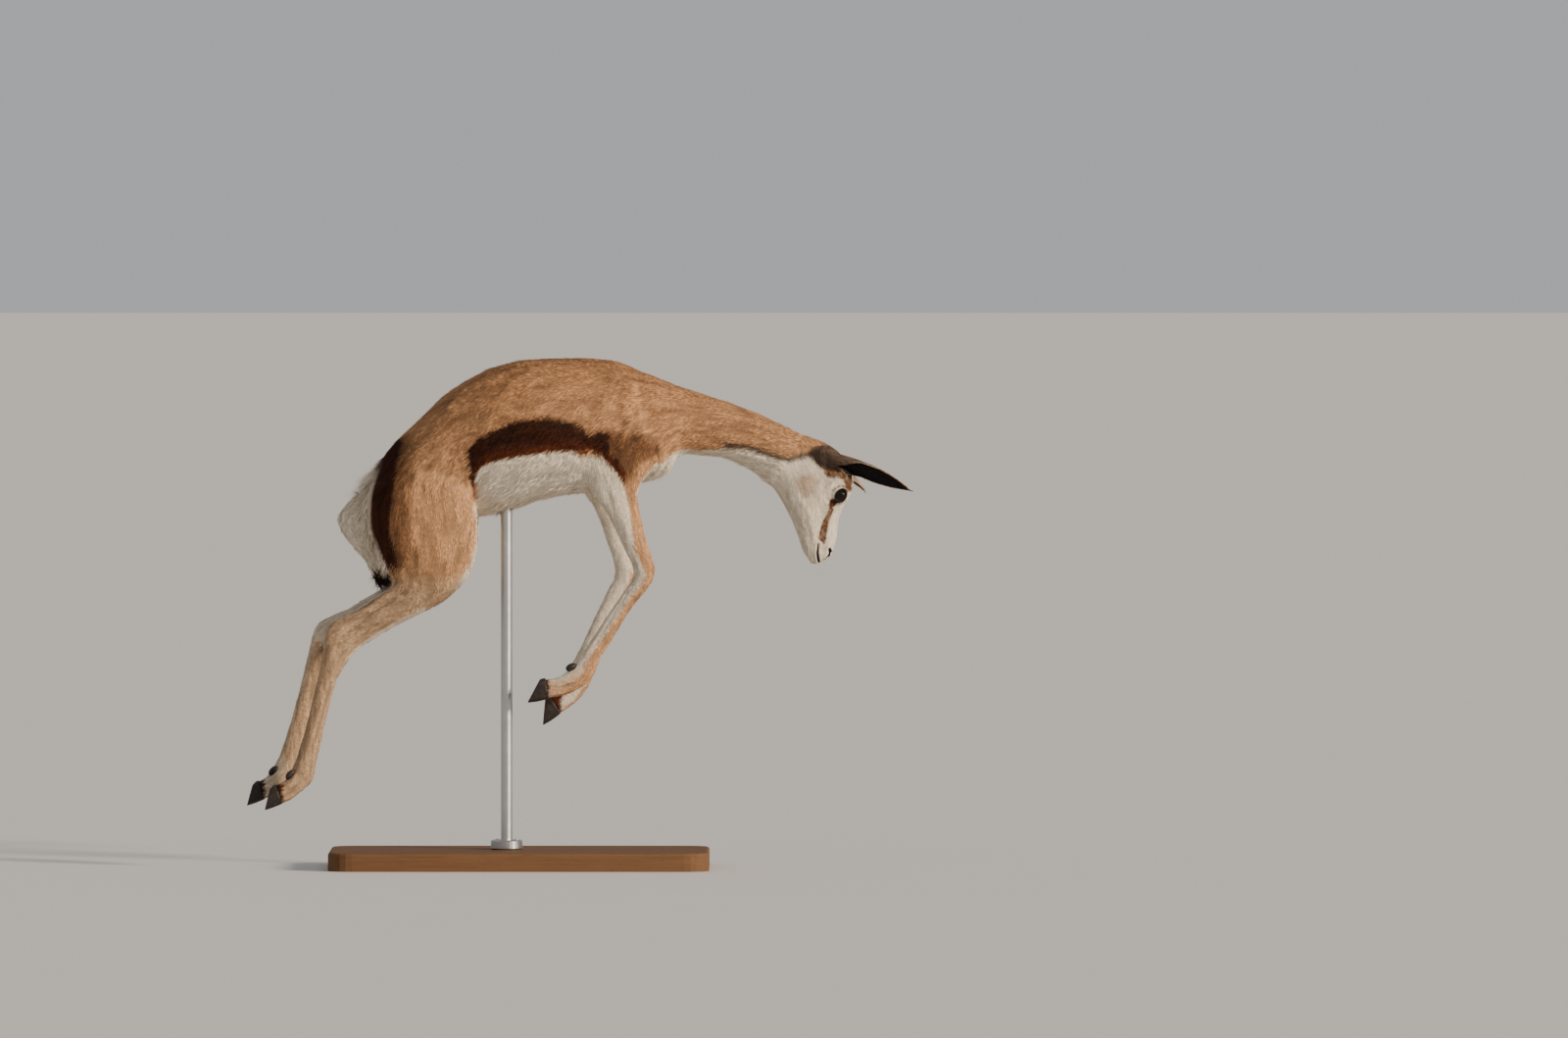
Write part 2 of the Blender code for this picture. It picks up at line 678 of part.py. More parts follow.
# The head gets its own finer skin, cut where the neck ends
head_bm = bmesh.new()
neck_and_head(head_bm)
whole_head = fine_skin(head_bm, "whole_head", HEAD_VOXEL, 16, HEAD_TRIANGLES + POLL_TRIANGLES)
head = sliced(whole_head, POLL_CUT, "head")
discard(whole_head)


def eye_ball(name, side, radius, segments=16):
    """Return the eyeball of one side."""
    bm = bmesh.new()
    place = Matrix.Translation(mirrored(EYE_CENTRE, side) * MM) @ along_axis(mirrored(EYE_AXIS, side))
    bmesh.ops.create_uvsphere(bm, u_segments=segments, v_segments=segments // 2, radius=radius * MM,
                              matrix=place)
    return object_from(bm, name)


def lid_opening(side, segments=22):
    """Return the almond prism that opens the lids of one side."""
    bm = bmesh.new()
    axis = mirrored(EYE_AXIS, side).normalized()
    tilt = math.radians(LID_TILT_DEG)
    long_way = Vector((math.sin(tilt), 0, math.cos(tilt)))
    long_way = (long_way - axis * long_way.dot(axis)).normalized()
    short_way = axis.cross(long_way)
    centre = mirrored(EYE_CENTRE, side) * MM
    rings = []
    for depth in (EYE_RADIUS * 0.2, EYE_RADIUS * 2.0):
        ring = []
        for step in range(segments):
            angle = 2 * math.pi * step / segments
            along = math.cos(angle) * LID_OPENING_LENGTH / 2
            across = math.copysign(abs(math.sin(angle)) ** 1.25, math.sin(angle)) * LID_OPENING_HEIGHT / 2
            ring.append(bm.verts.new(centre + (axis * depth + long_way * along + short_way * across) * MM))
        rings.append(ring)
    for step in range(segments):
        after = (step + 1) % segments
        bm.faces.new((rings[0][step], rings[0][after], rings[1][after], rings[1][step]))
    bm.faces.new(rings[0])
    bm.faces.new(rings[1])
    return object_from(bm, "lid_opening")


def ear(name, placed, steps=14, across=8):
    """Return one ear: a leaf-shaped cup on a solid stem."""
    base = Vector(placed.base)
    tip = Vector(placed.tip)
    axis = (tip - base).normalized()
    opening = Vector(placed.opening)
    opening = (opening - axis * opening.dot(axis)).normalized()
    sideways = axis.cross(opening)
    length = (tip - base).length
    bm = bmesh.new()
    rings = []
    for index in range(steps + 1):
        t = index / steps
        along = -EAR_STEM + (length + EAR_STEM) * t
        grown = min(1.0, t / 0.40)
        width = EAR_BASE_WIDTH + (EAR_WIDTH - EAR_BASE_WIDTH) * (3 * grown ** 2 - 2 * grown ** 3)
        if t > 0.50:
            width *= max(0.07, 1 - ((t - 0.50) / 0.50) ** 1.6)
        hollow = min(1.0, max(0.0, (t - 0.17) / 0.16))
        half_angle = math.radians(100 - 34 * t)
        radius = width / 2
        thickness = EAR_THICKNESS * (1 - 0.45 * t)
        centre = base + axis * along
        outer = []
        inner = []
        for step in range(across):
            angle = -half_angle + 2 * half_angle * step / (across - 1)
            back = -math.cos(angle) * radius * 0.8
            out = math.sin(angle) * radius
            outer.append(centre + opening * back + sideways * out)
            cup_back = -math.cos(angle) * max(0.3, radius * 0.8 - thickness)
            cup_out = math.sin(angle) * max(0.3, radius - thickness)
            solid_back = math.cos(angle) * radius * 0.55
            back_in = cup_back * hollow + solid_back * (1 - hollow)
            out_in = cup_out * hollow + out * 0.9 * (1 - hollow)
            inner.append(centre + opening * back_in + sideways * out_in)
        ring = [bm.verts.new(point * MM) for point in outer + inner[::-1]]
        rings.append(ring)
    count = len(rings[0])
    for first, second in zip(rings, rings[1:]):
        for step in range(count):
            after = (step + 1) % count
            bm.faces.new((first[step], first[after], second[after], second[step]))
    bm.faces.new(rings[0])
    bm.faces.new(rings[-1])
    return object_from(bm, name)


def groove(name, surface, guide, steps, width, depth):
    """Return a thin wedge that follows the surface nearest to a smooth guide line."""
    tree = BVHTree.FromPolygons([v.co for v in surface.data.vertices],
                                [tuple(f.vertices) for f in surface.data.polygons])
    path = [tree.find_nearest(Vector(row) * MM) for row in catmull(guide, steps)]
    bm = bmesh.new()
    rings = []
    last = len(path) - 1
    for index, (point, normal, _, _) in enumerate(path):
        along = (path[min(last, index + 1)][0] - path[max(0, index - 1)][0]).normalized()
        aside = along.cross(normal).normalized()
        taper = 0.35 if index in (0, last) else 1.0
        lip = aside * width * taper * MM / 2
        floor = -normal * depth * taper * MM
        corners = (lip + normal * depth * MM, -lip + normal * depth * MM, floor - lip * 0.5, floor + lip * 0.5)
        rings.append([bm.verts.new(point + corner) for corner in corners])
    for first, second in zip(rings, rings[1:]):
        for step in range(4):
            after = (step + 1) % 4
            bm.faces.new((first[step], first[after], second[after], second[step]))
    bm.faces.new(rings[0])
    bm.faces.new(rings[-1])
    return object_from(bm, name)


head_pieces = []
for side_name, side in SIDES.items():
    eye = eye_ball(f"eye_{side_name}", side, EYE_RADIUS)
    eye_room = eye_ball("eye_room", side, EYE_RADIUS + GAP)
    cut(eye_room, lid_opening(side), operation="UNION")
    cut(head, eye_room)
    one_ear = ear(f"ear_{side_name}", EARS[side_name])
    cut(head, swollen(one_ear, EAR_ROOM, "ear_room"))
    head_pieces += [eye, one_ear]

# The line of the mouth, round the front of the muzzle from corner to corner
MOUTH_CORNER = (487.5, 17.5, 529.0)
MOUTH_SIDE = (486.3, 17.0, 514.0)
MOUTH_FRONT_SIDE = (489.0, 10.5, 499.5)
MOUTH_FRONT = (490.0, 0.0, 495.5)
mouth_guide = [MOUTH_CORNER, MOUTH_SIDE, MOUTH_FRONT_SIDE, MOUTH_FRONT]
mouth_guide += [tuple(mirrored(p, -1.0)) for p in (MOUTH_FRONT_SIDE, MOUTH_SIDE, MOUTH_CORNER)]

# Nostrils as slanting commas on the end of the muzzle
NOSTRIL_GUIDE = ((499.5, 5.5, 499.5), (505.0, 8.0, 506.5), (508.3, 11.0, 514.0), (507.0, 14.0, 520.5))
face_grooves = [groove("mouth", head, mouth_guide, 3, MOUTH_WIDTH, MOUTH_DEPTH)]
for side in SIDES.values():
    nostril_guide = [tuple(mirrored(p, side)) for p in NOSTRIL_GUIDE]
    face_grooves.append(groove("nostril", head, nostril_guide, 2, NOSTRIL_WIDTH, NOSTRIL_DEPTH))
for wedge in face_grooves:
    cut(head, wedge)


def lock(name, start, end, width, thickness, bend):
    """Return one flat tapered lock of hair between two points, bowed along the bend vector."""
    bm = bmesh.new()
    rings = []
    along = (end - start).normalized()
    flat = along.cross(bend).normalized()
    for t in (0.0, 0.35, 0.7, 1.0):
        centre = start.lerp(end, t) + bend * math.sin(math.pi * t) * 0.5
        wide = flat * width * (1 - 0.9 * t ** 1.5) / 2
        thick = along.cross(flat) * thickness * (1 - 0.7 * t) / 2
        rings.append([bm.verts.new((centre + offset) * MM) for offset in (wide, thick, -wide, -thick)])
    for first, second in zip(rings, rings[1:]):
        for step in range(4):
            after = (step + 1) % 4
            bm.faces.new((first[step], first[after], second[after], second[step]))
    bm.faces.new(rings[0])
    bm.faces.new(rings[-1])
    return object_from(bm, name)


def joined(thing, extras):
    """Join a collection of closed pieces to a node with one Boolean union."""
    group = bpy.data.collections.new("extras")
    for extra in extras:
        bpy.context.scene.collection.objects.unlink(extra)
        group.objects.link(extra)
    bpy.context.scene.collection.children.link(group)
    boolean = thing.modifiers.new("join", "BOOLEAN")
    boolean.operation = "UNION"
    boolean.operand_type = "COLLECTION"
    boolean.collection = group
    bake(thing)
    for extra in extras:
        discard(extra)
    bpy.data.collections.remove(group)
    keep_largest(thing)


# Tail, clamped against the rump, with its dark tuft in flat locks
tail_bm = bmesh.new()
loft(tail_bm, TAIL_SECTIONS, steps=2, segments=10)
whole_tail = object_from(tail_bm, "whole_tail")
tuft_locks = []
for index in range(TAIL_LOCKS):
    turn = 2 * math.pi * (index + 0.5) / TAIL_LOCKS
    aside = Vector((math.cos(turn) * 0.8, math.sin(turn), math.cos(turn) * 0.6))
    start = Vector(TUFT_START) + aside * 3.0
    end = Vector(TUFT_END) + aside * 6.5 + Vector((0, 0, 5.0 * (index % 2)))
    tuft_locks.append(lock(f"lock_{index}", start, end, LOCK_WIDTH, LOCK_THICKNESS, aside * 2.5))
joined(whole_tail, tuft_locks)
tail = sliced(whole_tail, TAIL_ROOT_CUT, "tail")
discard(whole_tail)
cut(body, swollen(tail, GAP, "tail_room"))
for side_name in SIDES:
    cut(legs["hind", side_name], swollen(tail, GAP, "tail_room"))

# Stand: a flat base, a collar and one rod up into the belly
stand_bm = bmesh.new()
size = Matrix.Diagonal((BASE_LENGTH * MM, BASE_WIDTH * MM, BASE_HEIGHT * MM, 1.0))
bmesh.ops.create_cube(stand_bm, size=1.0, matrix=Matrix.Translation((0, 0, BASE_HEIGHT * MM / 2)) @ size)
upright = [e for e in stand_bm.edges if abs(e.verts[0].co.z - e.verts[1].co.z) > BASE_HEIGHT * MM / 2]
bmesh.ops.bevel(stand_bm, geom=upright, offset=BASE_CORNER * MM, segments=6, profile=0.5, affect="EDGES")
top_edges = [e for e in stand_bm.edges if min(v.co.z for v in e.verts) > BASE_HEIGHT * MM * 0.99]
bmesh.ops.bevel(stand_bm, geom=top_edges, offset=BASE_EDGE * MM, segments=2, profile=0.5, affect="EDGES")
stand_base = object_from(stand_bm, "stand_base")


def rod_body(name, radius, low_z, high_z):
    """Return an upright round bar at the rod's place."""
    bm = bmesh.new()
    middle = Vector((ROD_X, 0, (low_z + high_z) / 2)) * MM
    bmesh.ops.create_cone(bm, cap_ends=True, segments=ROUND_SEGMENTS, radius1=radius * MM, radius2=radius * MM,
                          depth=(high_z - low_z) * MM, matrix=Matrix.Translation(middle))
    return object_from(bm, name)


ROD_FOOT = BASE_HEIGHT - ROD_SINK
ROD_TOP = BELLY_AT_ROD + ROD_SOCKET
rod = rod_body("stand_rod", ROD_RADIUS, ROD_FOOT, ROD_TOP)
cut(stand_base, rod_body("rod_hole", ROD_RADIUS + GAP, ROD_FOOT - GAP, ROD_TOP))
collar = rod_body("stand_collar", COLLAR_RADIUS, BASE_HEIGHT + GAP, BASE_HEIGHT + COLLAR_HEIGHT)
collar_bevel = collar.modifiers.new("edge", "BEVEL")
collar_bevel.width = COLLAR_BEVEL * MM
collar_bevel.segments = 1
collar_bevel.limit_method = "ANGLE"
bake(collar)
cut(collar, rod_body("collar_hole", ROD_RADIUS + GAP, 0.0, ROD_TOP))
cut(body, rod_body("belly_hole", ROD_RADIUS + GAP, ROD_FOOT, ROD_TOP + GAP))

# Materials and parenting
coat_tan = material("coat_tan", (0.46, 0.27, 0.13), 0.85)
face_cream = material("face_cream", (0.72, 0.62, 0.48), 0.85)
rump_white = material("rump_white", (0.80, 0.76, 0.70), 0.85)
ear_skin = material("ear_skin", (0.10, 0.08, 0.08), 0.75)
horn_black = material("horn_black", (0.025, 0.022, 0.020), 0.45)
eye_dark = material("eye_dark", (0.012, 0.008, 0.006), 0.08)
base_wood = material("base_wood", (0.10, 0.055, 0.032), 0.5)
rod_steel = material("rod_steel", (0.62, 0.62, 0.63), 0.3, 1.0)


def finish(thing, look):
    """Give a node its material, smooth shading and the common parent."""
    thing.data.materials.clear()
    thing.data.materials.append(look)
    for face in thing.data.polygons:
        face.use_smooth = True
    thing.parent = root


for thing in [body, neck] + legs_made:
    finish(thing, coat_tan)
finish(head, face_cream)
finish(tail, rump_white)
for thing in head_pieces:
    look = {"eye": eye_dark, "ear": ear_skin}[thing.name[:3]]
    finish(thing, look)
for thing in claws_made:
    finish(thing, horn_black)
finish(stand_base, base_wood)
finish(rod, rod_steel)
finish(collar, rod_steel)
for thing in (stand_base, collar):
    for face in thing.data.polygons:
        face.use_smooth = False
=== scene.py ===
"""Looks of the young springbok: skin, short coat, eyes, hooves, tail tuft, stand and stage.

The frame is in metres with +X to the head, +Y to the animal's left and +Z up. Places that repeat the
part's own sizes are written in millimetres and multiplied by MM where they are used.
"""
import math
from collections import namedtuple

import bmesh
import bpy
import numpy as np
from bpy.props import FloatProperty, FloatVectorProperty, IntProperty, PointerProperty
from mathutils import Matrix, Vector
from mathutils.bvhtree import BVHTree


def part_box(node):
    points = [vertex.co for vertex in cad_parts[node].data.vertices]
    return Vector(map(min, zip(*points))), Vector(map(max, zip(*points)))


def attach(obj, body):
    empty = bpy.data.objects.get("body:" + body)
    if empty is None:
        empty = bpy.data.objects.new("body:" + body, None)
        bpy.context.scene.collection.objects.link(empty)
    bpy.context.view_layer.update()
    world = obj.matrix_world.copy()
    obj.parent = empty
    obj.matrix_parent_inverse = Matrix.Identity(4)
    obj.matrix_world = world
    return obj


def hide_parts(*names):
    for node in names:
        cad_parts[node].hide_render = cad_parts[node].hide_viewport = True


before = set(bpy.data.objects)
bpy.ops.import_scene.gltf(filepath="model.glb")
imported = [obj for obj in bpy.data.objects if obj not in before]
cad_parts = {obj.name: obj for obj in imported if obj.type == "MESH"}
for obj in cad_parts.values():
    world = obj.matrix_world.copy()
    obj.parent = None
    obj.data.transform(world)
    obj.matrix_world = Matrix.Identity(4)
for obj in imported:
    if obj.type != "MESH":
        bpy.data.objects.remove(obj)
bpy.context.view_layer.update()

bl_info = {
    "name": "Springbok Looks",
    "version": (1, 0, 0),
    "blender": (4, 5, 0),
    "location": "3D View > Sidebar > Springbok",
    "description": "Dresses the packed springbok with skin, coat, eyes, hooves and its stand",
    "category": "Object",
}

MM = 0.001
SIDES = {"right": -1.0, "left": 1.0}
LEG_PARTS = {"hind": ("upper", "shank", "cannon", "foot"), "fore": ("upper", "forearm", "cannon", "foot")}
LEGS = [(kind, side) for kind in LEG_PARTS for side in SIDES]
REGIONS = ["torso", "neck", "head", "tail", "ear_right", "ear_left"]
REGIONS += [f"leg_{kind}_{side}_{part}" for kind, side in LEGS for part in LEG_PARTS[kind]]
TORSO, NECK, HEAD, TAIL, EAR_RIGHT, EAR_LEFT = range(6)

# Sizes repeated from the part, in millimetres
EYE_CENTRE = (523.0, 27.5, 610.0)
EYE_RADIUS = 14.0
EYE_AXIS = (0.16, 0.97, -0.10)
LID_THICKNESS = 1.9
LID_OPENING_LENGTH = 25.0
LID_OPENING_HEIGHT = 18.5
LID_TILT_DEG = 30.0
Ear = namedtuple("Ear", "base tip opening twist_deg")
EARS = {
    "right": Ear((506.0, -31.0, 670.5), (642.5, -66.0, 615.5), (-0.10, -0.90, -0.42), 42.0),
    "left": Ear((499.5, 30.0, 656.5), (566.5, 157.0, 609.5), (-0.52, -0.08, -0.85), -20.0),
}
EAR_WIDTH = 34.0
EAR_BASE_WIDTH = 25.0
EAR_THICKNESS = 2.6
EAR_STEM = 15.0
EAR_FLATNESS = 0.8
MOUTH_GUIDE = ((487.5, 17.5, 529.0), (486.3, 17.0, 514.0), (489.0, 10.5, 499.5), (490.0, 0.0, 495.5))
NOSTRIL_GUIDE = ((499.5, 5.5, 499.5), (505.0, 8.0, 506.5), (508.3, 11.0, 514.0), (507.0, 14.0, 520.5))
BASE_HEIGHT = 30.0
ROD_X = -21.0
COLLAR_HEIGHT = 16.0

# Studio in metres: the camera stands far off with a long lens, a little above the animal
CAMERA_PLACE = (0.432, -28.44, 1.193)
CAMERA_PITCH_DEG = 1.255
CAMERA_LENS = 400.0
CAMERA_SENSOR = 36.0
CAMERA_REACH = 300.0
FLOOR_HALF = 90.0
SUN_TOWARD = (0.79, -0.54, 0.30)
SUN_ANGLE_DEG = 10
SUN_COLOUR = (1.0, 0.86, 0.70)
SKY_COLOUR = (0.93, 0.945, 0.98)

# Middle lines of limbs, trunk, neck, head and tail in side view (X, Z), along which the hair lies
HIND_LINE = ((-140, 690), (-150, 600), (-150, 500), (-172, 445), (-230, 408), (-298, 362), (-318, 310),
             (-334, 240), (-350, 175), (-362, 140), (-400, 118))
FORE_LINE = ((150, 785), (168, 700), (160, 620), (180, 560), (203, 495), (198, 465), (170, 430),
             (140, 378), (112, 335), (80, 303), (38, 291))
TORSO_LINE = ((260, 720), (150, 725), (40, 715), (-70, 690), (-170, 640), (-250, 570))
NECK_LINE = ((480, 650), (400, 690), (330, 715), (255, 725))
HEAD_LINE = ((500, 495), (500, 560), (495, 620), (470, 670))
TAIL_LINE = ((-243, 620), (-268, 595), (-286, 566), (-270, 535), (-235, 495), (-221, 465))
HAIR_GUIDES = {"torso": TORSO_LINE, "neck": NECK_LINE, "head": HEAD_LINE, "tail": TAIL_LINE,
               "leg_hind": HIND_LINE, "leg_fore": FORE_LINE}

# How far a left leg lies ahead of the right one in side view: heights and shifts in millimetres
LEFT_SHIFTS = {
    "leg_hind": ((100, 374, 520), (-31, -24, 0)),
    "leg_fore": ((319, 486, 640), (-3, -32, -10)),
}

# The markings, and the distance that stands for being well outside one, in millimetres
MARKS = ("pale", "dark", "rust", "black", "dusk", "fawn", "umber")
FAR_OUT = -40.0

# Outlines and lines of the markings in side view, in millimetres as (X, Z), but RUMP_LINE and
# FORELEG_LINE as (Z, X)
FLANK_STRIPE = ((-83, 684), (-59, 708), (-32, 721), (0, 735), (26, 738), (61, 738), (90, 731), (108, 722),
                (121, 708), (127, 694), (121, 684), (86, 683), (61, 683), (21, 679), (-6, 674), (-32, 668),
                (-59, 658), (-69, 628), (-75, 622), (-77, 650))
ARM_EDGE = ((119, 684), (131, 679), (137, 673), (155, 654), (165, 642), (171, 636), (175, 648), (165, 664),
            (152, 682), (152, 700), (146, 712), (136, 716), (126, 710), (120, 699))
# The arm's patch is partly brown hair and partly painted shade in the shoulder's crease.
ARM_BROWN_AND_SHADE = ((126, 712), (152, 719), (176, 713), (200, 713), (221, 703), (237, 689), (227, 676), (208, 671),
             (192, 658), (186, 642), (173, 633), (165, 642), (138, 674))
KNEE_SPOT = ((-107, 496), (-96, 494), (-93, 480), (-98, 470), (-106, 474), (-109, 486))
CHEST_LINE = ((185, 600), (198, 628), (205, 645), (218, 659), (237, 669), (256, 680), (272, 684))
BELLY_LINE = ((-150, 560), (-83, 617), (-70, 639), (-59, 658), (-32, 668), (-6, 674), (21, 679), (61, 683),
              (86, 683), (118, 681), (132, 674), (148, 658), (174, 631), (200, 640), (221, 664), (256, 678))
NECK_WHITE_LINE = ((240, 672), (262, 680), (304, 682), (344, 686), (384, 684), (411, 675), (438, 667),
                   (464, 666), (491, 662))
# The dark line along the neck's white edge is partly a painted shadow of the fold under the jaw and ear.
NECK_DUSK_AND_SHADOW_LINE = ((340, 690), (368, 690), (384, 686), (411, 676), (438, 667), (464, 672), (491, 680))
THIGH_BAND = ((-200, 706), (-221, 672), (-234, 633), (-239, 606), (-242, 577), (-239, 551), (-227, 522),
              (-210, 489), (-199, 482), (-199, 512), (-210, 548), (-209, 585), (-204, 617), (-197, 650),
              (-190, 684), (-186, 704))
# THIGH_SHADE is painted shade beside the thigh band, partly the reddish brown of its hair.
THIGH_SHADE = ((-190, 716), (-220, 672), (-238, 606), (-240, 551), (-208, 486), (-178, 498), (-176, 560),
               (-178, 620), (-168, 690))
RUMP_LINE = ((470, -198), (489, -210), (522, -227), (551, -239), (577, -242), (606, -239), (633, -234),
             (679, -215), (700, -206), (715, -204))
FORELEG_LINE = ((-80, 494), (494, 202), (522, 192), (556, 184), (593, 178), (622, 173), (642, 165),
                (654, 155), (673, 137), (690, 110))
RUST_STRIPE = ((511, 590), (506, 585), (498, 569), (492, 553), (489, 540), (493, 534), (498, 531),
               (501, 545), (504, 561), (509, 577), (513, 586))
CHEEK_PATCH = ((450, 632), (461, 641), (480, 640), (488, 632), (484, 622), (476, 612), (467, 604), (459, 612))
TEAR_CORNER = ((505, 602), (516, 603), (520, 597), (515, 590), (508, 585), (505, 592))
BROW_LINE = ((512, 618), (522, 624), (534, 624), (540, 618))
FOREHEAD_PATCH = ((498, 645), (512, 651), (528, 652), (543, 648), (549, 638), (543, 620), (535, 614),
                  (533, 626), (528, 634), (517, 638), (504, 638))
CROWN_PATCH = ((420, 760), (467, 730), (530, 700), (536, 656), (520, 648), (501, 648), (487, 660), (478, 670),
               (464, 672), (438, 668), (420, 680))
# The ear's root is partly grey-brown hair and partly painted shade.
EAR_ROOT_GREY_AND_SHADE = ((474, 676), (490, 688), (512, 690), (530, 680), (528, 656), (512, 648), (496, 650),
                  (482, 662))

# The dark tuft of the tail hangs from the first point towards the second, in millimetres
TAIL_TUFT = ((-229, 0, 485), (-214, 0, 455))
TAIL_SCATTER = (3.2, 3.2, 2.2)
TAIL_SPREAD = 0.34
TAIL_HAIR_RADIUS = 0.00045
LASH_RADIUS = 0.00022
BRISTLE_CORNERS = 5
BRISTLE_TIP = 0.00002

# The skin: voxel, growth of the parts and pressed depths of the coat in millimetres
REMESH_VOXEL = 1.7
FUSE_GROWTH = 0.3
BODY_DEPTH = 1.1
HEAD_DEPTH = 0.55
EAR_DEPTH = 0.15
LOW_LEG_DEPTH = 0.6
SKIN_TRIANGLES = 188000
SKIN_SMOOTHING = 70
LIE_SMOOTHING = 24
# The skin is darker than the tufts: painted shade in the gaps between them.
SKIN_SHADE = 0.25

# The coat: each piece's shares of the trunk's tuft spacing, hair length and tuft width, and its lift
Shares = namedtuple("Shares", "spacing length width lift_deg")
COAT_SHARES = {
    "torso": Shares(1.0, 1.0, 1.0, 9),
    "upper": Shares(1.0, 0.9, 1.0, 8),
    "shank": Shares(0.86, 0.7, 0.8, 8),
    "forearm": Shares(0.86, 0.7, 0.8, 8),
    "cannon": Shares(0.78, 0.55, 0.7, 8),
    "foot": Shares(0.72, 0.5, 0.65, 9),
    "ear": Shares(0.72, 0.42, 0.46, 6),
    "neck": Shares(1.0, 0.85, 1.0, 9),
    "head": Shares(0.60, 0.27, 0.44, 8),
    "tail": Shares(0.9, 1.25, 0.7, 8),
}
COAT_TRIANGLES = 198000
SHORT_TUFT = ((0, 1, 2), (0, 3, 1), (1, 3, 2), (2, 3, 0))
LONG_TUFT = ((0, 1, 2), (0, 4, 1), (0, 3, 4), (1, 5, 2), (1, 4, 5), (2, 3, 0), (2, 5, 3),
             (3, 6, 4), (4, 6, 5), (5, 6, 3))

# Eyes, hooves and screws in millimetres
EYE_SEGMENTS = 48
EYE_INSET = 0.25
CORNEA_BULGE = 0.9
CORNEA_SPREAD = 0.62
PUPIL_HALF_LENGTH = 5.2
PUPIL_HALF_HEIGHT = 3.4
HOOF_GROWTH = 0.35
HOOF_VOXEL = 0.9
HOOF_SMOOTHING = 5
SCREW_CIRCLE = 18.0
SCREW_RADIUS = 3.4
SCREW_FLATTENING = 0.42

# Colours that have no setting
# Grey-brown of the neck's dark line and the ears' roots, partly painted shade.
DUSK_AND_SHADE = (0.062, 0.045, 0.037)
TAIL_DARK = (0.020, 0.011, 0.007)
LID_DARK = (0.006, 0.005, 0.004)
LASH_DARK = (0.008, 0.006, 0.005)
PUPIL_DARK = (0.002, 0.002, 0.003)
# A painted highlight of the lower lid's edge, low on the eyeball.
EYE_ARC_HIGHLIGHT = (0.30, 0.21, 0.14)
EYE_BORDER = (0.012, 0.009, 0.008)
HORN_DARK = (0.010, 0.008, 0.007)
HORN_RING = (0.028, 0.021, 0.017)
HORN_WORN = (0.075, 0.055, 0.040)
STEEL_DARK = (0.46, 0.46, 0.47)
STEEL_LIGHT = (0.60, 0.60, 0.60)

PATCH = 0.003
NEAR_ZERO = 1e-9


class CoatSettings(bpy.types.PropertyGroup):
    """Lengths and colours of the coat."""

    body_hair: FloatProperty(name="Body hair", description="Length of the hair on the trunk",
                             default=0.0125, unit="LENGTH")
    hair_width: FloatProperty(name="Tuft width", description="Width of one tuft on the trunk",
                              default=0.0021, unit="LENGTH")
    spacing: FloatProperty(name="Tuft spacing", description="Distance between tufts on the trunk",
                           default=0.0023, unit="LENGTH")
    seed: IntProperty(name="Seed", description="Seed of the tufts' places", default=7)
    tail_hairs: IntProperty(name="Tail hairs", description="Dark hairs on the tip of the tail", default=1200)
    tan: FloatVectorProperty(name="Tan", description="Back, flanks and thighs", subtype="COLOR",
                             default=(0.42, 0.215, 0.10))
    fawn: FloatVectorProperty(name="Fawn", description="Paler lower legs", subtype="COLOR",
                              default=(0.43, 0.28, 0.165))
    # This soft brown also stands for painted shade beside the thigh band and in the shoulder's crease.
    umber: FloatVectorProperty(name="Umber", description="Soft brown on arm and thigh", subtype="COLOR",
                               default=(0.105, 0.042, 0.017))
    cream: FloatVectorProperty(name="White", description="Belly, rump, face and inner legs", subtype="COLOR",
                               default=(0.80, 0.71, 0.58))
    chocolate: FloatVectorProperty(name="Dark", description="Flank stripe and thigh band", subtype="COLOR",
                                   default=(0.023, 0.0065, 0.0025))
    rust: FloatVectorProperty(name="Rust", description="Face stripe and forehead", subtype="COLOR",
                              default=(0.105, 0.036, 0.008))
    # The ear's lining takes this dark colour as painted shade of the ear's hollow; on lips and nostrils it is
    # their own colour.
    black: FloatVectorProperty(name="Black", description="Ear lining, lips and nostrils", subtype="COLOR",
                               default=(0.012, 0.010, 0.010))


class EyeSettings(bpy.types.PropertyGroup):
    """Colours of the eyes."""

    iris: FloatVectorProperty(name="Iris", description="Dark brown iris", subtype="COLOR",
                              default=(0.0065, 0.0032, 0.0018))
    lash_length: FloatProperty(name="Lash length", description="Length of one eyelash", default=0.0055,
                               unit="LENGTH")
    lash_count: IntProperty(name="Lashes", description="Eyelashes on one upper lid", default=26)


class StandSettings(bpy.types.PropertyGroup):
    """Finish of the display stand."""

    wood: FloatVectorProperty(name="Wood", description="Light part of the grain", subtype="COLOR",
                              default=(0.20, 0.105, 0.052))
    grain: FloatVectorProperty(name="Grain", description="Dark part of the grain", subtype="COLOR",
                               default=(0.085, 0.040, 0.018))
    screw_count: IntProperty(name="Screws", description="Screws round the collar", default=3)


class StageSettings(bpy.types.PropertyGroup):
    """Floor and light of the studio."""

    floor: FloatVectorProperty(name="Floor", description="Colour of the floor", subtype="COLOR",
                               default=(0.66, 0.64, 0.61))
    key_strength: FloatProperty(name="Key light", description="Strength of the low warm light", default=5.2)
    fill_strength: FloatProperty(name="Fill light", description="Strength of the sky all round", default=0.46)


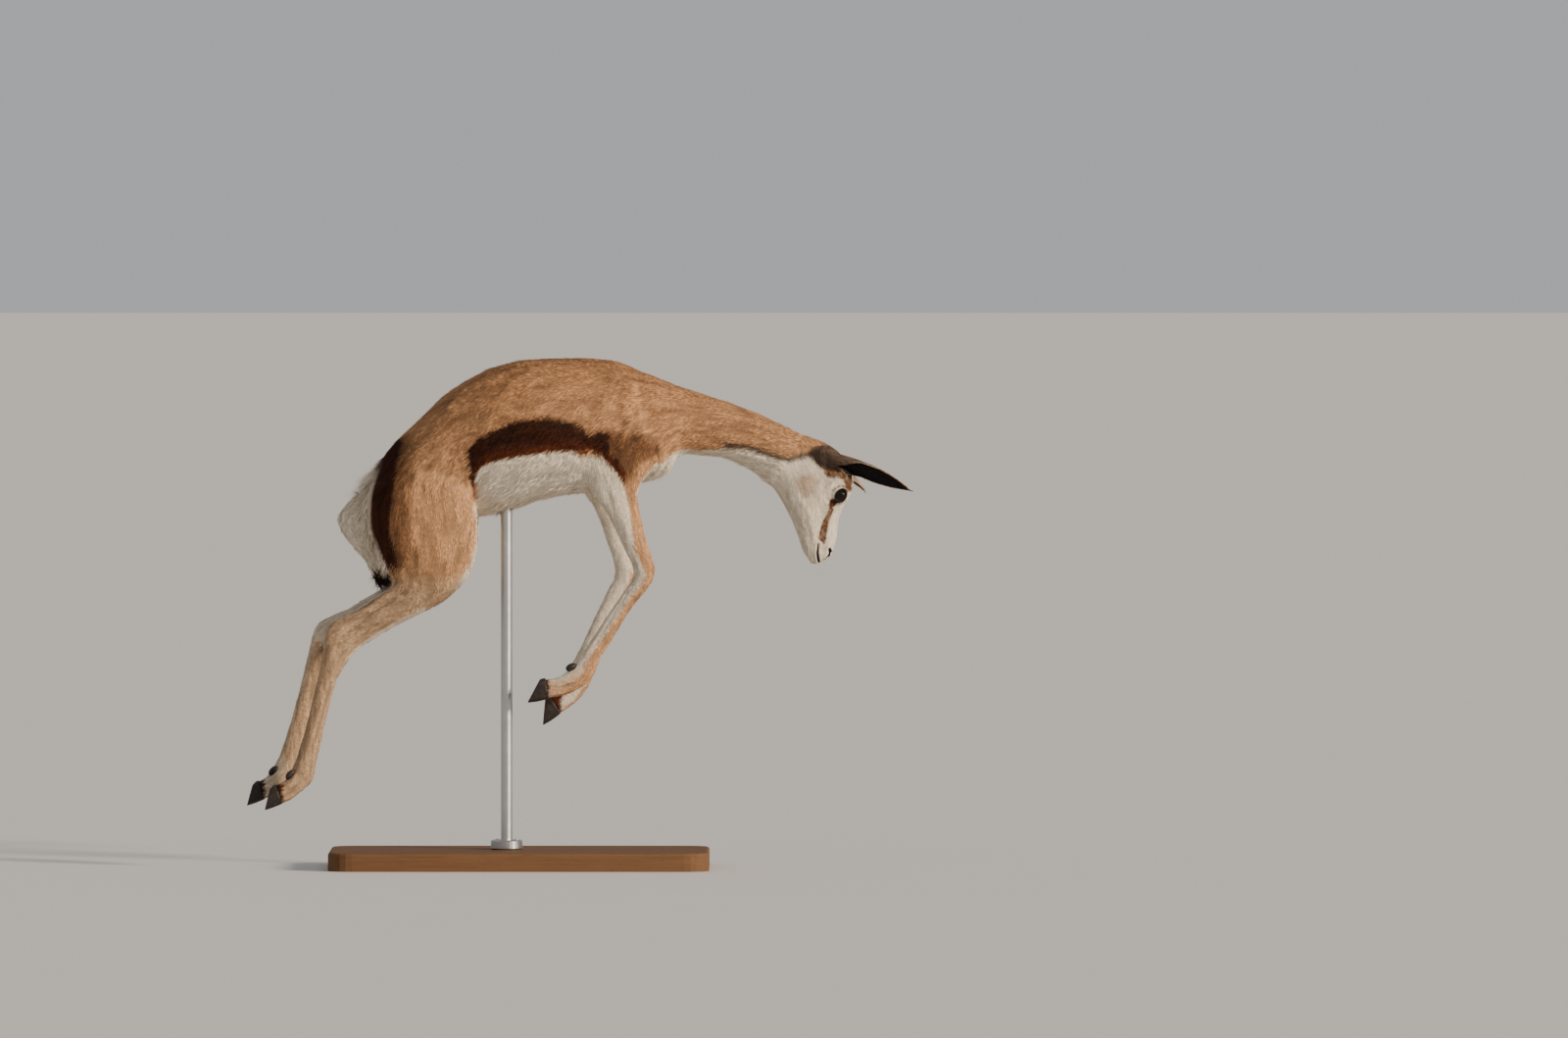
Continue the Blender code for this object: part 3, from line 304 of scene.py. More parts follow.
class Value:
    """A shader socket on which Python's arithmetic adds Math nodes."""

    def __init__(self, shade, socket):
        self.shade = shade
        self.socket = socket

    def math(self, operation, *others):
        """Add one Math node fed by this value and the others."""
        inputs = dict(enumerate((self, *others)))
        return self.shade.node("Math", {"operation": operation}, inputs)

    def __add__(self, other):
        return self.math("ADD", other)

    def __sub__(self, other):
        return self.math("SUBTRACT", other)

    def __rsub__(self, other):
        return self.shade.node("Math", {"operation": "SUBTRACT"}, {0: other, 1: self})

    def __mul__(self, other):
        return self.math("MULTIPLY", other)

    def clamped(self):
        """Return the value held between 0 and 1."""
        return self.shade.node("Clamp", {}, {"Value": self})

    def stepped(self, low, high):
        """Return a smooth step from 0 at low to 1 at high."""
        inputs = {"Value": self, "From Min": low, "From Max": high}
        return self.shade.node("MapRange", {"interpolation_type": "SMOOTHSTEP"}, inputs)


class Shade:
    """One procedural material under construction."""

    def __init__(self, name):
        self.material = bpy.data.materials.new(name)
        self.material.use_nodes = True
        self.tree = self.material.node_tree
        self.shader = self.tree.nodes["Principled BSDF"]

    def node(self, kind, settings, inputs, output=0):
        """Add one node: its settings first, then the values or links of its sockets."""
        made = self.tree.nodes.new(f"ShaderNode{kind}")
        for name, value in settings.items():
            if name == "stops":
                self.set_stops(made.color_ramp, value)
            else:
                setattr(made, name, value)
        for name, value in inputs.items():
            self.feed(made.inputs[name], value)
        return Value(self, made.outputs[output])

    def set_stops(self, ramp, stops):
        """Give a colour ramp its stops, as pairs of place and colour."""
        while len(ramp.elements) < len(stops):
            ramp.elements.new(0.5)
        for element, (place, colour) in zip(ramp.elements, stops):
            element.position = place
            element.color = (*colour, 1.0)

    def feed(self, socket, value):
        """Link a value or write a constant into one input."""
        if isinstance(value, Value):
            self.tree.links.new(value.socket, socket)
        elif hasattr(value, "__len__") and len(value) == 3 and socket.type == "RGBA":
            socket.default_value = (*value, 1.0)
        else:
            socket.default_value = value

    def mix(self, share, first, second, blend="MIX"):
        """Mix two colours by a share."""
        settings = {"data_type": "RGBA", "blend_type": blend}
        return self.node("Mix", settings, {0: share, 6: first, 7: second}, output=2)

    def place(self):
        """Return the object coordinates."""
        return self.node("TexCoord", {}, {}, output="Object")

    def scaled(self, vector, factors):
        """Stretch a vector."""
        return self.node("VectorMath", {"operation": "MULTIPLY"}, {0: vector, 1: factors})

    def noise(self, vector, scale, detail=3.0, roughness=0.55):
        """Return a noise value."""
        inputs = {"Vector": vector, "Scale": scale, "Detail": detail, "Roughness": roughness}
        return self.node("TexNoise", {}, inputs, output="Fac")

    def attribute(self, name):
        """Return a named float attribute of the mesh."""
        return self.node("Attribute", {"attribute_name": name}, {}, output="Fac")

    def bump(self, height, strength, distance):
        """Feed a height to the shader's normal."""
        made = self.node("Bump", {}, {"Height": height, "Strength": strength, "Distance": distance})
        self.feed(self.shader.inputs["Normal"], made)

    def set(self, **values):
        """Write or link shader inputs by name, with underscores for spaces."""
        for name, value in values.items():
            self.feed(self.shader.inputs[name.replace("_", " ")], value)


# Small helpers for meshes
def catmull(values, steps):
    """Return a smooth row of values that passes through every given row."""
    rows = np.array(values, dtype=float)
    padded = np.vstack([2 * rows[0] - rows[1], rows, 2 * rows[-1] - rows[-2]])
    smooth = []
    for index in range(len(rows) - 1):
        before, start, end, after = padded[index:index + 4]
        for step in range(steps):
            t = step / steps
            smooth.append(0.5 * (2 * start + (end - before) * t
                                 + (2 * before - 5 * start + 4 * end - after) * t ** 2
                                 + (3 * start - before - 3 * end + after) * t ** 3))
    smooth.append(rows[-1])
    return np.array(smooth)


def unit(rows):
    """Return rows of vectors at length one."""
    return rows / np.maximum(np.linalg.norm(rows, axis=1, keepdims=True), NEAR_ZERO)


def mirrored(point, side):
    """Return a point or direction of the left side, mirrored for the right one."""
    return Vector((point[0], point[1] * side, point[2]))


def linked(name, mesh):
    """Link a new object for a mesh."""
    made = bpy.data.objects.new(name, mesh)
    bpy.context.scene.collection.objects.link(made)
    return made


def mesh_from(name, points, triangles, smooth=True):
    """Return a mesh from arrays of points and triangles."""
    mesh = bpy.data.meshes.new(name)
    count = len(triangles)
    mesh.vertices.add(len(points))
    mesh.vertices.foreach_set("co", np.asarray(points, dtype=np.float32).ravel())
    mesh.loops.add(count * 3)
    mesh.loops.foreach_set("vertex_index", np.asarray(triangles, dtype=np.int32).ravel())
    mesh.polygons.add(count)
    mesh.polygons.foreach_set("loop_start", np.arange(0, count * 3, 3, dtype=np.int32))
    mesh.polygons.foreach_set("use_smooth", np.full(count, smooth))
    mesh.update(calc_edges=True)
    return mesh


def object_from(bm, name, smooth=True):
    """Turn a bmesh into a linked object with outward faces."""
    bmesh.ops.recalc_face_normals(bm, faces=bm.faces)
    for face in bm.faces:
        face.smooth = smooth
    mesh = bpy.data.meshes.new(name)
    bm.to_mesh(mesh)
    bm.free()
    return linked(name, mesh)


def bake(thing):
    """Replace an object's mesh by its evaluated mesh and drop the modifiers."""
    bpy.context.view_layer.update()
    graph = bpy.context.evaluated_depsgraph_get()
    baked = bpy.data.meshes.new_from_object(thing.evaluated_get(graph))
    thing.modifiers.clear()
    old = thing.data
    thing.data = baked
    bpy.data.meshes.remove(old)


def points_of(mesh, normals=False):
    """Return the places or the normals of a mesh's vertices."""
    rows = np.empty(len(mesh.vertices) * 3, dtype=np.float32)
    if normals:
        mesh.vertex_normals.foreach_get("vector", rows)
    else:
        mesh.vertices.foreach_get("co", rows)
    return rows.reshape(-1, 3).astype(float)


def corners_of(mesh):
    """Return the vertex numbers of a triangle mesh."""
    rows = np.empty(len(mesh.loops), dtype=np.int32)
    mesh.loops.foreach_get("vertex_index", rows)
    return rows.reshape(-1, 3)


def edges_of(mesh):
    """Return the first and the second vertex numbers of a mesh's edges."""
    rows = np.empty(len(mesh.edges) * 2, dtype=np.int32)
    mesh.edges.foreach_get("vertices", rows)
    return rows.reshape(-1, 2).T


def store(mesh, name, values):
    """Write one float for each vertex as a named attribute."""
    layer = mesh.attributes.new(name, "FLOAT", "POINT")
    layer.data.foreach_set("value", np.asarray(values, dtype=np.float32))


def read(mesh, name):
    """Read a named float attribute."""
    rows = np.empty(len(mesh.vertices), dtype=np.float32)
    mesh.attributes[name].data.foreach_get("value", rows)
    return rows.astype(float)


def finish_piece(thing, material, slot, *nodes):
    """Give a piece its material and body, and hide the nodes that it replaces; the slot is not used."""
    thing.data.materials.clear()
    thing.data.materials.append(material)
    if nodes:
        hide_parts(*nodes)
    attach(thing, "root")


# Distances that place the markings
def segment_gap(places, start, end):
    """Return the distance of each place to a straight segment."""
    along = end - start
    offset = places - start
    share = np.clip(offset @ along / max(along @ along, NEAR_ZERO), 0, 1)
    return np.linalg.norm(offset - share[:, None] * along, axis=1)


def inside_distance(places, outline):
    """Return the distance to a smooth closed outline in side view, positive inside."""
    ring = catmull(outline + outline[:1], 3)[:-1]
    least = np.full(len(places), np.inf)
    winding = np.zeros(len(places), dtype=bool)
    for start, end in zip(ring, np.roll(ring, -1, axis=0)):
        least = np.minimum(least, segment_gap(places, start, end))
        run, rise = end - start
        rise = rise if abs(rise) > NEAR_ZERO else NEAR_ZERO
        spans = (start[1] > places[:, 1]) != (end[1] > places[:, 1])
        crossing = start[0] + (places[:, 1] - start[1]) * run / rise
        winding ^= spans & (places[:, 0] < crossing)
    return np.where(winding, least, -least)


def line_distance(places, guide, steps=4):
    """Return the distance of each place to a smooth guide line."""
    path = catmull(guide, steps)
    least = np.full(len(places), np.inf)
    for start, end in zip(path, path[1:]):
        least = np.minimum(least, segment_gap(places, start, end))
    return least


def below(places, line):
    """Return how far places lie under a line in side view."""
    knots = catmull(line, 4)
    return np.interp(places[:, 0], knots[:, 0], knots[:, 1]) - places[:, 1]


def behind(places, line):
    """Return how far places lie behind a line given as height and X."""
    knots = catmull(line, 4)
    return np.interp(places[:, 1], knots[:, 0], knots[:, 1]) - places[:, 0]


def muzzle_gaps(places, normals):
    """Return the distances to the line of the mouth and to the nearer nostril."""
    mouth = np.full(len(places), np.inf)
    nostril = np.full(len(places), np.inf)
    flat = places[:, (0, 2)]
    for side in SIDES.values():
        outward = normals[:, 1] * side
        lips = [tuple(mirrored(point, side)) for point in MOUTH_GUIDE]
        wing = [tuple(mirrored(point, side)) for point in NOSTRIL_GUIDE]
        mouth = np.minimum(mouth, line_distance(places, lips))
        nostril = np.minimum(nostril, line_distance(places, wing))
        seen = line_distance(flat, [(point[0], point[2]) for point in MOUTH_GUIDE[:3]])
        mouth = np.where((outward > 0.3) & (places[:, 1] * side > 5), np.minimum(mouth, seen), mouth)
        seen = line_distance(flat, [(point[0], point[2]) for point in NOSTRIL_GUIDE])
        nostril = np.where((outward > -0.1) & (places[:, 1] * side > 1), np.minimum(nostril, seen), nostril)
    return mouth, nostril


# The ears
def ear_frame(placed):
    """Return an ear's base, axis, opening, sideways direction and length."""
    base = Vector(placed.base)
    axis = (Vector(placed.tip) - base)
    length = axis.length
    axis.normalize()
    opening = Vector(placed.opening)
    opening = (opening - axis * opening.dot(axis)).normalized()
    return base, axis, opening, axis.cross(opening), length


def ear_section(t):
    """Return an ear's radius in millimetres, how far its wall reaches round and how hollow it is."""
    grown = np.clip(t / 0.40, 0, 1)
    width = EAR_BASE_WIDTH + (EAR_WIDTH - EAR_BASE_WIDTH) * (3 * grown ** 2 - 2 * grown ** 3)
    width = width * np.maximum(0.13, 1 - np.clip((t - 0.50) / 0.50, 0, 1) ** 1.9)
    opened = np.clip((t - 0.12) / 0.34, 0, 1)
    closed = 1 - opened ** 2 * (3 - 2 * opened)
    half_angle = np.radians(np.minimum(180, 100 - 34 * t + 86 * closed))
    return width / 2, half_angle, np.clip((t - 0.13) / 0.20, 0, 1)


def ear_turned(placed, t):
    """Return the direction in which an ear opens at a share of its length, and the one across it."""
    _, _, opening, sideways, _ = ear_frame(placed)
    twist = math.radians(placed.twist_deg) * (1 - t) ** 1.5
    facing = opening * math.cos(twist) + sideways * math.sin(twist)
    return facing, sideways * math.cos(twist) - opening * math.sin(twist)


def ear_shell(bm, placed, steps=64, across=40):
    """Add one ear to a bmesh: a leaf-shaped cup on a solid stem, in metres."""
    base, axis, _, _, length = ear_frame(placed)
    rings = []
    for index in range(steps + 1):
        t = index / steps
        radius, half_angle, hollow = (float(value) for value in ear_section(t))
        facing, beside = ear_turned(placed, t)
        centre = base + axis * (-EAR_STEM + (length + EAR_STEM) * t)
        cup = max(0.3, (radius - EAR_THICKNESS * (1 - 0.15 * t)) * hollow)
        outer = []
        inner = []
        for step in range(across):
            angle = -half_angle + 2 * half_angle * step / (across - 1)
            way = facing * (-math.cos(angle) * EAR_FLATNESS) + beside * math.sin(angle)
            outer.append(centre + way * radius)
            inner.append(centre + way * cup)
        rings.append([bm.verts.new(point * MM) for point in outer + inner[::-1]])
    count = len(rings[0])
    for first, second in zip(rings, rings[1:]):
        for step in range(count):
            after = (step + 1) % count
            bm.faces.new((first[step], first[after], second[after], second[step]))
    bm.faces.new(rings[0])
    bm.faces.new(rings[-1])


def ear_share(places, placed):
    """Return how far along an ear places lie, 0 at its base and 1 at its tip, and how near to its axis."""
    base, axis, _, _, length = ear_frame(placed)
    offset = places - np.array(base)
    along = offset @ np.array(axis)
    aside = np.linalg.norm(offset - along[:, None] * np.array(axis), axis=1)
    return along / length, aside


# The skin
def add_node(bm, name, growth):
    """Add a CAD node to a bmesh, merged and grown a little so that neighbours overlap."""
    part = bmesh.new()
    part.from_mesh(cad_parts[name].data)
    bmesh.ops.remove_doubles(part, verts=part.verts, dist=1e-6)
    part.normal_update()
    copies = {vertex: bm.verts.new(vertex.co + vertex.normal * growth * MM) for vertex in part.verts}
    for face in part.faces:
        bm.faces.new([copies[vertex] for vertex in face.verts])
    part.free()


def eye_frame(side):
    """Return the eye's centre, axis, long way and short way."""
    axis = mirrored(EYE_AXIS, side).normalized()
    tilt = math.radians(LID_TILT_DEG)
    long_way = Vector((math.sin(tilt), 0, math.cos(tilt)))
    long_way = (long_way - axis * long_way.dot(axis)).normalized()
    return mirrored(EYE_CENTRE, side), axis, long_way, axis.cross(long_way)


def fused_flesh():
    """Return one object of all flesh nodes, finer ears and eye sockets, fused into an even mesh."""
    bm = bmesh.new()
    for name in REGIONS:
        if not name.startswith("ear"):
            add_node(bm, name, FUSE_GROWTH)
    for side_name, side in SIDES.items():
        ear_shell(bm, EARS[side_name])
        place = Matrix.Translation(mirrored(EYE_CENTRE, side) * MM)
        bmesh.ops.create_uvsphere(bm, u_segments=40, v_segments=20, radius=(EYE_RADIUS + 0.7) * MM,
                                  matrix=place)
    made = object_from(bm, "skin")
    remesh = made.modifiers.new("fuse", "REMESH")
    remesh.mode = "VOXEL"
    remesh.voxel_size = REMESH_VOXEL * MM
    bake(made)
    return made


def softened(made):
    """Smooth the fused flesh: strongly on the trunk, gently on legs, head and ears."""
    places = points_of(made.data) / MM
    soft = np.interp(places[:, 2], (470, 600), (0.16, 1.0))
    soft[places[:, 0] > 425] = 0.30
    for placed in EARS.values():
        share, aside = ear_share(places, placed)
        soft[(share > 0.02) & (aside < 24)] = 0.06
    levels = np.round(soft * 20).astype(int)
    group = made.vertex_groups.new(name="soft")
    for level in np.unique(levels):
        group.add(np.nonzero(levels == level)[0].tolist(), level / 20, "REPLACE")
    smooth = made.modifiers.new("soften", "SMOOTH")
    smooth.factor = 0.5
    smooth.iterations = SKIN_SMOOTHING
    smooth.vertex_group = "soft"
    bake(made)
    made.vertex_groups.clear()


def thinned(made):
    """Thin the skin's mesh everywhere but on the head and ears."""
    places = points_of(made.data) / MM
    free = np.where(places[:, 0] > 440, 0.0, 1.0)
    group = made.vertex_groups.new(name="free")
    for level in (0.0, 1.0):
        group.add(np.nonzero(free == level)[0].tolist(), level, "REPLACE")
    triangles = sum(len(face.vertices) - 2 for face in made.data.polygons)
    decimate = made.modifiers.new("thin", "DECIMATE")
    decimate.ratio = min(1.0, SKIN_TRIANGLES / triangles)
    decimate.vertex_group = "free"
    bake(made)
    made.vertex_groups.clear()


def triangulated(made):
    """Turn every face into triangles."""
    bm = bmesh.new()
    bm.from_mesh(made.data)
    bmesh.ops.triangulate(bm, faces=bm.faces)
    bmesh.ops.recalc_face_normals(bm, faces=bm.faces)
    for face in bm.faces:
        face.smooth = True
    bm.to_mesh(made.data)
    bm.free()


def regions_of(places):
    """Return the number of the flesh node nearest to each place."""
    corners = []
    faces = []
    owners = []
    for number, name in enumerate(REGIONS):
        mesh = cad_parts[name].data
        start = len(corners)
        corners.extend(vertex.co.copy() for vertex in mesh.vertices)
        faces.extend(tuple(start + v for v in face.vertices) for face in mesh.polygons)
        owners.extend([number] * len(mesh.polygons))
    tree = BVHTree.FromPolygons(corners, faces)
    return np.array([owners[tree.find_nearest(Vector(place))[2]] for place in places])


def legs_side(regions):
    """Return 1 or -1 where a region belongs to a left or right leg or ear, else 0."""
    signs = np.zeros(len(REGIONS))
    for number, name in enumerate(REGIONS):
        if "left" in name:
            signs[number] = 1.0
        elif "right" in name:
            signs[number] = -1.0
    return signs[regions]


def is_region(regions, *words):
    """Return a mask of the places whose region's name holds every word."""
    wanted = [number for number, name in enumerate(REGIONS) if all(word in name for word in words)]
    return np.isin(regions, wanted)


def left_shift(heights, regions, word):
    """Return how far places on a left leg lie ahead of the right one in side view, and 0 elsewhere."""
    if word not in LEFT_SHIFTS:
        return np.zeros(len(heights))
    return np.where(is_region(regions, f"{word}_left"), np.interp(heights, *LEFT_SHIFTS[word]), 0)


# Creases and hollows of the skin in side view, in millimetres; a negative depth is a swelling
Crease = namedtuple("Crease", "guide width depth word")
CREASES = (
    Crease(((-112, 692), (-96, 684), (-82, 660), (-74, 622), (-70, 590)), 6.0, 2.2, "leg_hind"),
    Crease(((95, 772), (108, 762), (118, 750), (124, 742)), 2.6, 1.5, "torso"),
    Crease(((108, 776), (114, 766), (122, 758)), 2.0, 0.9, "torso"),
    Crease(((196, 800), (206, 770), (214, 738), (217, 706)), 9.0, 1.8, "torso"),
    Crease(((130, 776), (112, 730), (104, 690)), 12.0, 1.6, "torso"),
    Crease(((150, 640), (146, 612), (156, 580), (170, 545)), 4.5, 1.2, "leg_fore"),
    Crease(((-160, 560), (-170, 520), (-182, 480)), 9.0, 1.8, "leg_hind"),
    Crease(((-190, 452), (-232, 426), (-268, 398), (-286, 382)), 5.0, 4.2, "leg_hind"),
    Crease(((-296, 352), (-306, 334), (-312, 322)), 5.0, 1.8, "leg_hind"),
    Crease(((-294, 392), (-306, 388), (-312, 376)), 7.0, -1.6, "leg_hind"),
    Crease(((-308, 300), (-326, 240), (-344, 185)), 2.6, 1.3, "leg_hind"),
    Crease(((176, 450), (152, 412), (126, 370)), 2.6, 1.2, "leg_fore"),
    Crease(((186, 500), (190, 482), (182, 466)), 3.5, 1.4, "leg_fore"),
    Crease(((210, 496), (214, 480), (206, 464)), 5.0, -1.0, "leg_fore"),
    Crease(((150, 660), (164, 690), (170, 720)), 10.0, 1.6, "leg_fore"),
    Crease(((462, 597), (470, 584), (478, 555), (482, 532)), 5.0, -1.5, "head"),
    Crease(((494, 588), (492, 560), (494, 540)), 6.0, 1.2, "head"),
    Crease(((482, 632), (492, 636), (500, 628)), 7.0, 1.6, "head"),
    Crease(((506, 622), (518, 632), (534, 630), (541, 618)), 4.0, -1.6, "head"),
    Crease(((500, 604), (508, 596), (516, 592)), 3.5, 1.2, "head"),
    Crease(((452, 604), (458, 580), (466, 560)), 8.0, -1.2, "head"),
    Crease(((503, 524), (512, 518), (511, 506)), 3.2, -1.0, "head"),
    Crease(((490, 690), (484, 676), (488, 660)), 5.0, 1.6, "head"),
)


def pressed(made, regions, relief):
    """Press the coat's depth, its relief, creases, lips, nostrils and lid edges into the skin."""
    mesh = made.data
    places = points_of(mesh) / MM
    normals = points_of(mesh, normals=True)
    depth = np.full(len(places), BODY_DEPTH)
    depth[regions == HEAD] = HEAD_DEPTH
    # The word ear is in forearm too, so the forearms are pressed as little as the ears
    depth[is_region(regions, "ear")] = EAR_DEPTH
    depth[is_region(regions, "cannon") | is_region(regions, "foot")] = LOW_LEG_DEPTH
    depth += (0.5 - relief) * depth
    for crease in CREASES:
        mask = is_region(regions, crease.word)
        mask &= normals[:, 1] * np.sign(places[:, 1]) > 0.1
        shift = left_shift(places[:, 2], regions, crease.word)
        flat = np.column_stack((places[:, 0] - shift, places[:, 2]))
        gap = line_distance(flat, crease.guide)
        depth += mask * crease.depth * np.exp(-(gap / crease.width) ** 2)
    head = regions == HEAD
    mouth, nostril = muzzle_gaps(places, normals)
    depth += head * (2.8 * np.exp(-(mouth / 1.5) ** 2) - 1.0 * np.exp(-((mouth - 3.6) / 1.9) ** 2))
    depth += head * (3.8 * np.exp(-(nostril / 2.2) ** 2) - 0.9 * np.exp(-((nostril - 5.0) / 1.8) ** 2))
    moved = places - normals * depth[:, None]
    for side in SIDES.values():
        moved = lids_shaped(moved, side)
    mesh.vertices.foreach_set("co", (moved * MM).astype(np.float32).ravel())
    mesh.update()


def lid_ring(places, side):
    """Return offsets from the eye, their lengths and their share of the lids' oval, 1 on its edge."""
    centre, _, long_way, short_way = eye_frame(side)
    offset = places - np.array(centre)
    along = offset @ np.array(long_way) / (LID_OPENING_LENGTH / 2)
    across = offset @ np.array(short_way) / (LID_OPENING_HEIGHT / 2)
    return offset, np.linalg.norm(offset, axis=1), np.sqrt(along ** 2 + across ** 2)


def lids_shaped(places, side):
    """Sink the skin inside the opening of the lids and press a fold round them."""
    centre, axis, _, _ = eye_frame(side)
    offset, reach, ring = lid_ring(places, side)
    near = (offset @ np.array(axis) > 2) & (reach < 26)
    lid_radius = EYE_RADIUS + LID_THICKNESS
    wanted = np.where(ring < 1.0, EYE_RADIUS - 2.2, np.maximum(reach, EYE_RADIUS + 0.9))
    wanted = np.where((ring >= 1.0) & (ring < 1.35), np.minimum(wanted, lid_radius + 0.2), wanted)
    fold = 1.1 * np.exp(-((ring - 1.62) / 0.13) ** 2)
    wanted = np.where(near, wanted - fold, reach)
    return np.array(centre) + offset * (wanted / np.maximum(reach, NEAR_ZERO))[:, None]


def lie_of_hair(mesh, places, normals, regions):
    """Return the direction in which the hair lies at each vertex of the skin."""
    lie = np.zeros((len(places), 3))
    lie[:, 0] = -1.0
    for word, line in HAIR_GUIDES.items():
        mask = is_region(regions, word)
        path = catmull(line, 4)
        flat = places[mask][:, (0, 2)].copy()
        flat[:, 0] -= left_shift(flat[:, 1], regions[mask], word)
        middles = (path[1:] + path[:-1]) / 2
        ways = unit(path[1:] - path[:-1])
        gaps = np.linalg.norm(flat[:, None, :] - middles[None, :, :], axis=2)
        weights = 1 / (gaps ** 3 + 1.0)
        way = (weights[:, :, None] * ways[None, :, :]).sum(axis=1)
        way = unit(way)
        lie[mask] = np.column_stack((way[:, 0], np.zeros(len(way)), way[:, 1]))
    trunk = (regions == TORSO) | (regions == NECK)
    lie[trunk, 2] -= 0.55 * np.abs(normals[trunk, 1])
    for side_name, placed in EARS.items():
        _, axis, _, _, _ = ear_frame(placed)
        lie[is_region(regions, f"ear_{side_name}")] = axis
    first, second = edges_of(mesh)
    count = len(places)
    degree = np.bincount(first, minlength=count) + np.bincount(second, minlength=count)
    for _ in range(LIE_SMOOTHING):
        spread = np.empty_like(lie)
        for column in range(3):
            spread[:, column] = (np.bincount(first, lie[second, column], count)
                                 + np.bincount(second, lie[first, column], count))
        lie = 0.4 * lie + 0.6 * spread / degree[:, None]
    lie -= normals * (lie * normals).sum(axis=1)[:, None]
    return unit(lie)


def combed(mesh, lie, passes, leak, seed):
    """Return values from 0 to 1 in streaks that run along the hair, wider for a larger leak."""
    first, second = edges_of(mesh)
    places = points_of(mesh)
    way = unit(places[second] - places[first])
    along = np.abs((way * (lie[first] + lie[second]) / 2).sum(axis=1)) ** 6 + leak
    count = len(places)
    total = np.bincount(first, along, count) + np.bincount(second, along, count)
    values = np.random.default_rng(seed).random(count) - 0.5
    for _ in range(passes):
        spread = np.bincount(first, along * values[second], count)
        spread += np.bincount(second, along * values[first], count)
        values = 0.45 * values + 0.55 * spread / total
    return np.clip(0.5 + values / (4.2 * values.std()), 0, 1)


def blush_of(places, regions):
    """Return how much red shows in the dark bands, and how much fawn shows through white."""
    return np.where(regions == HEAD, 0.65, np.where(places[:, 0] > -150, 1.0, 0.25))


def claw_box(kind, side_name):
    """Return the corners, in millimetres, of the box round a foot's two claws."""
    boxes = [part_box(f"leg_{kind}_{side_name}_claw_{digit}") for digit in "ab"]
    low = np.min([np.array(box[0]) for box in boxes], axis=0) / MM
    high = np.max([np.array(box[1]) for box in boxes], axis=0) / MM
    return low, high


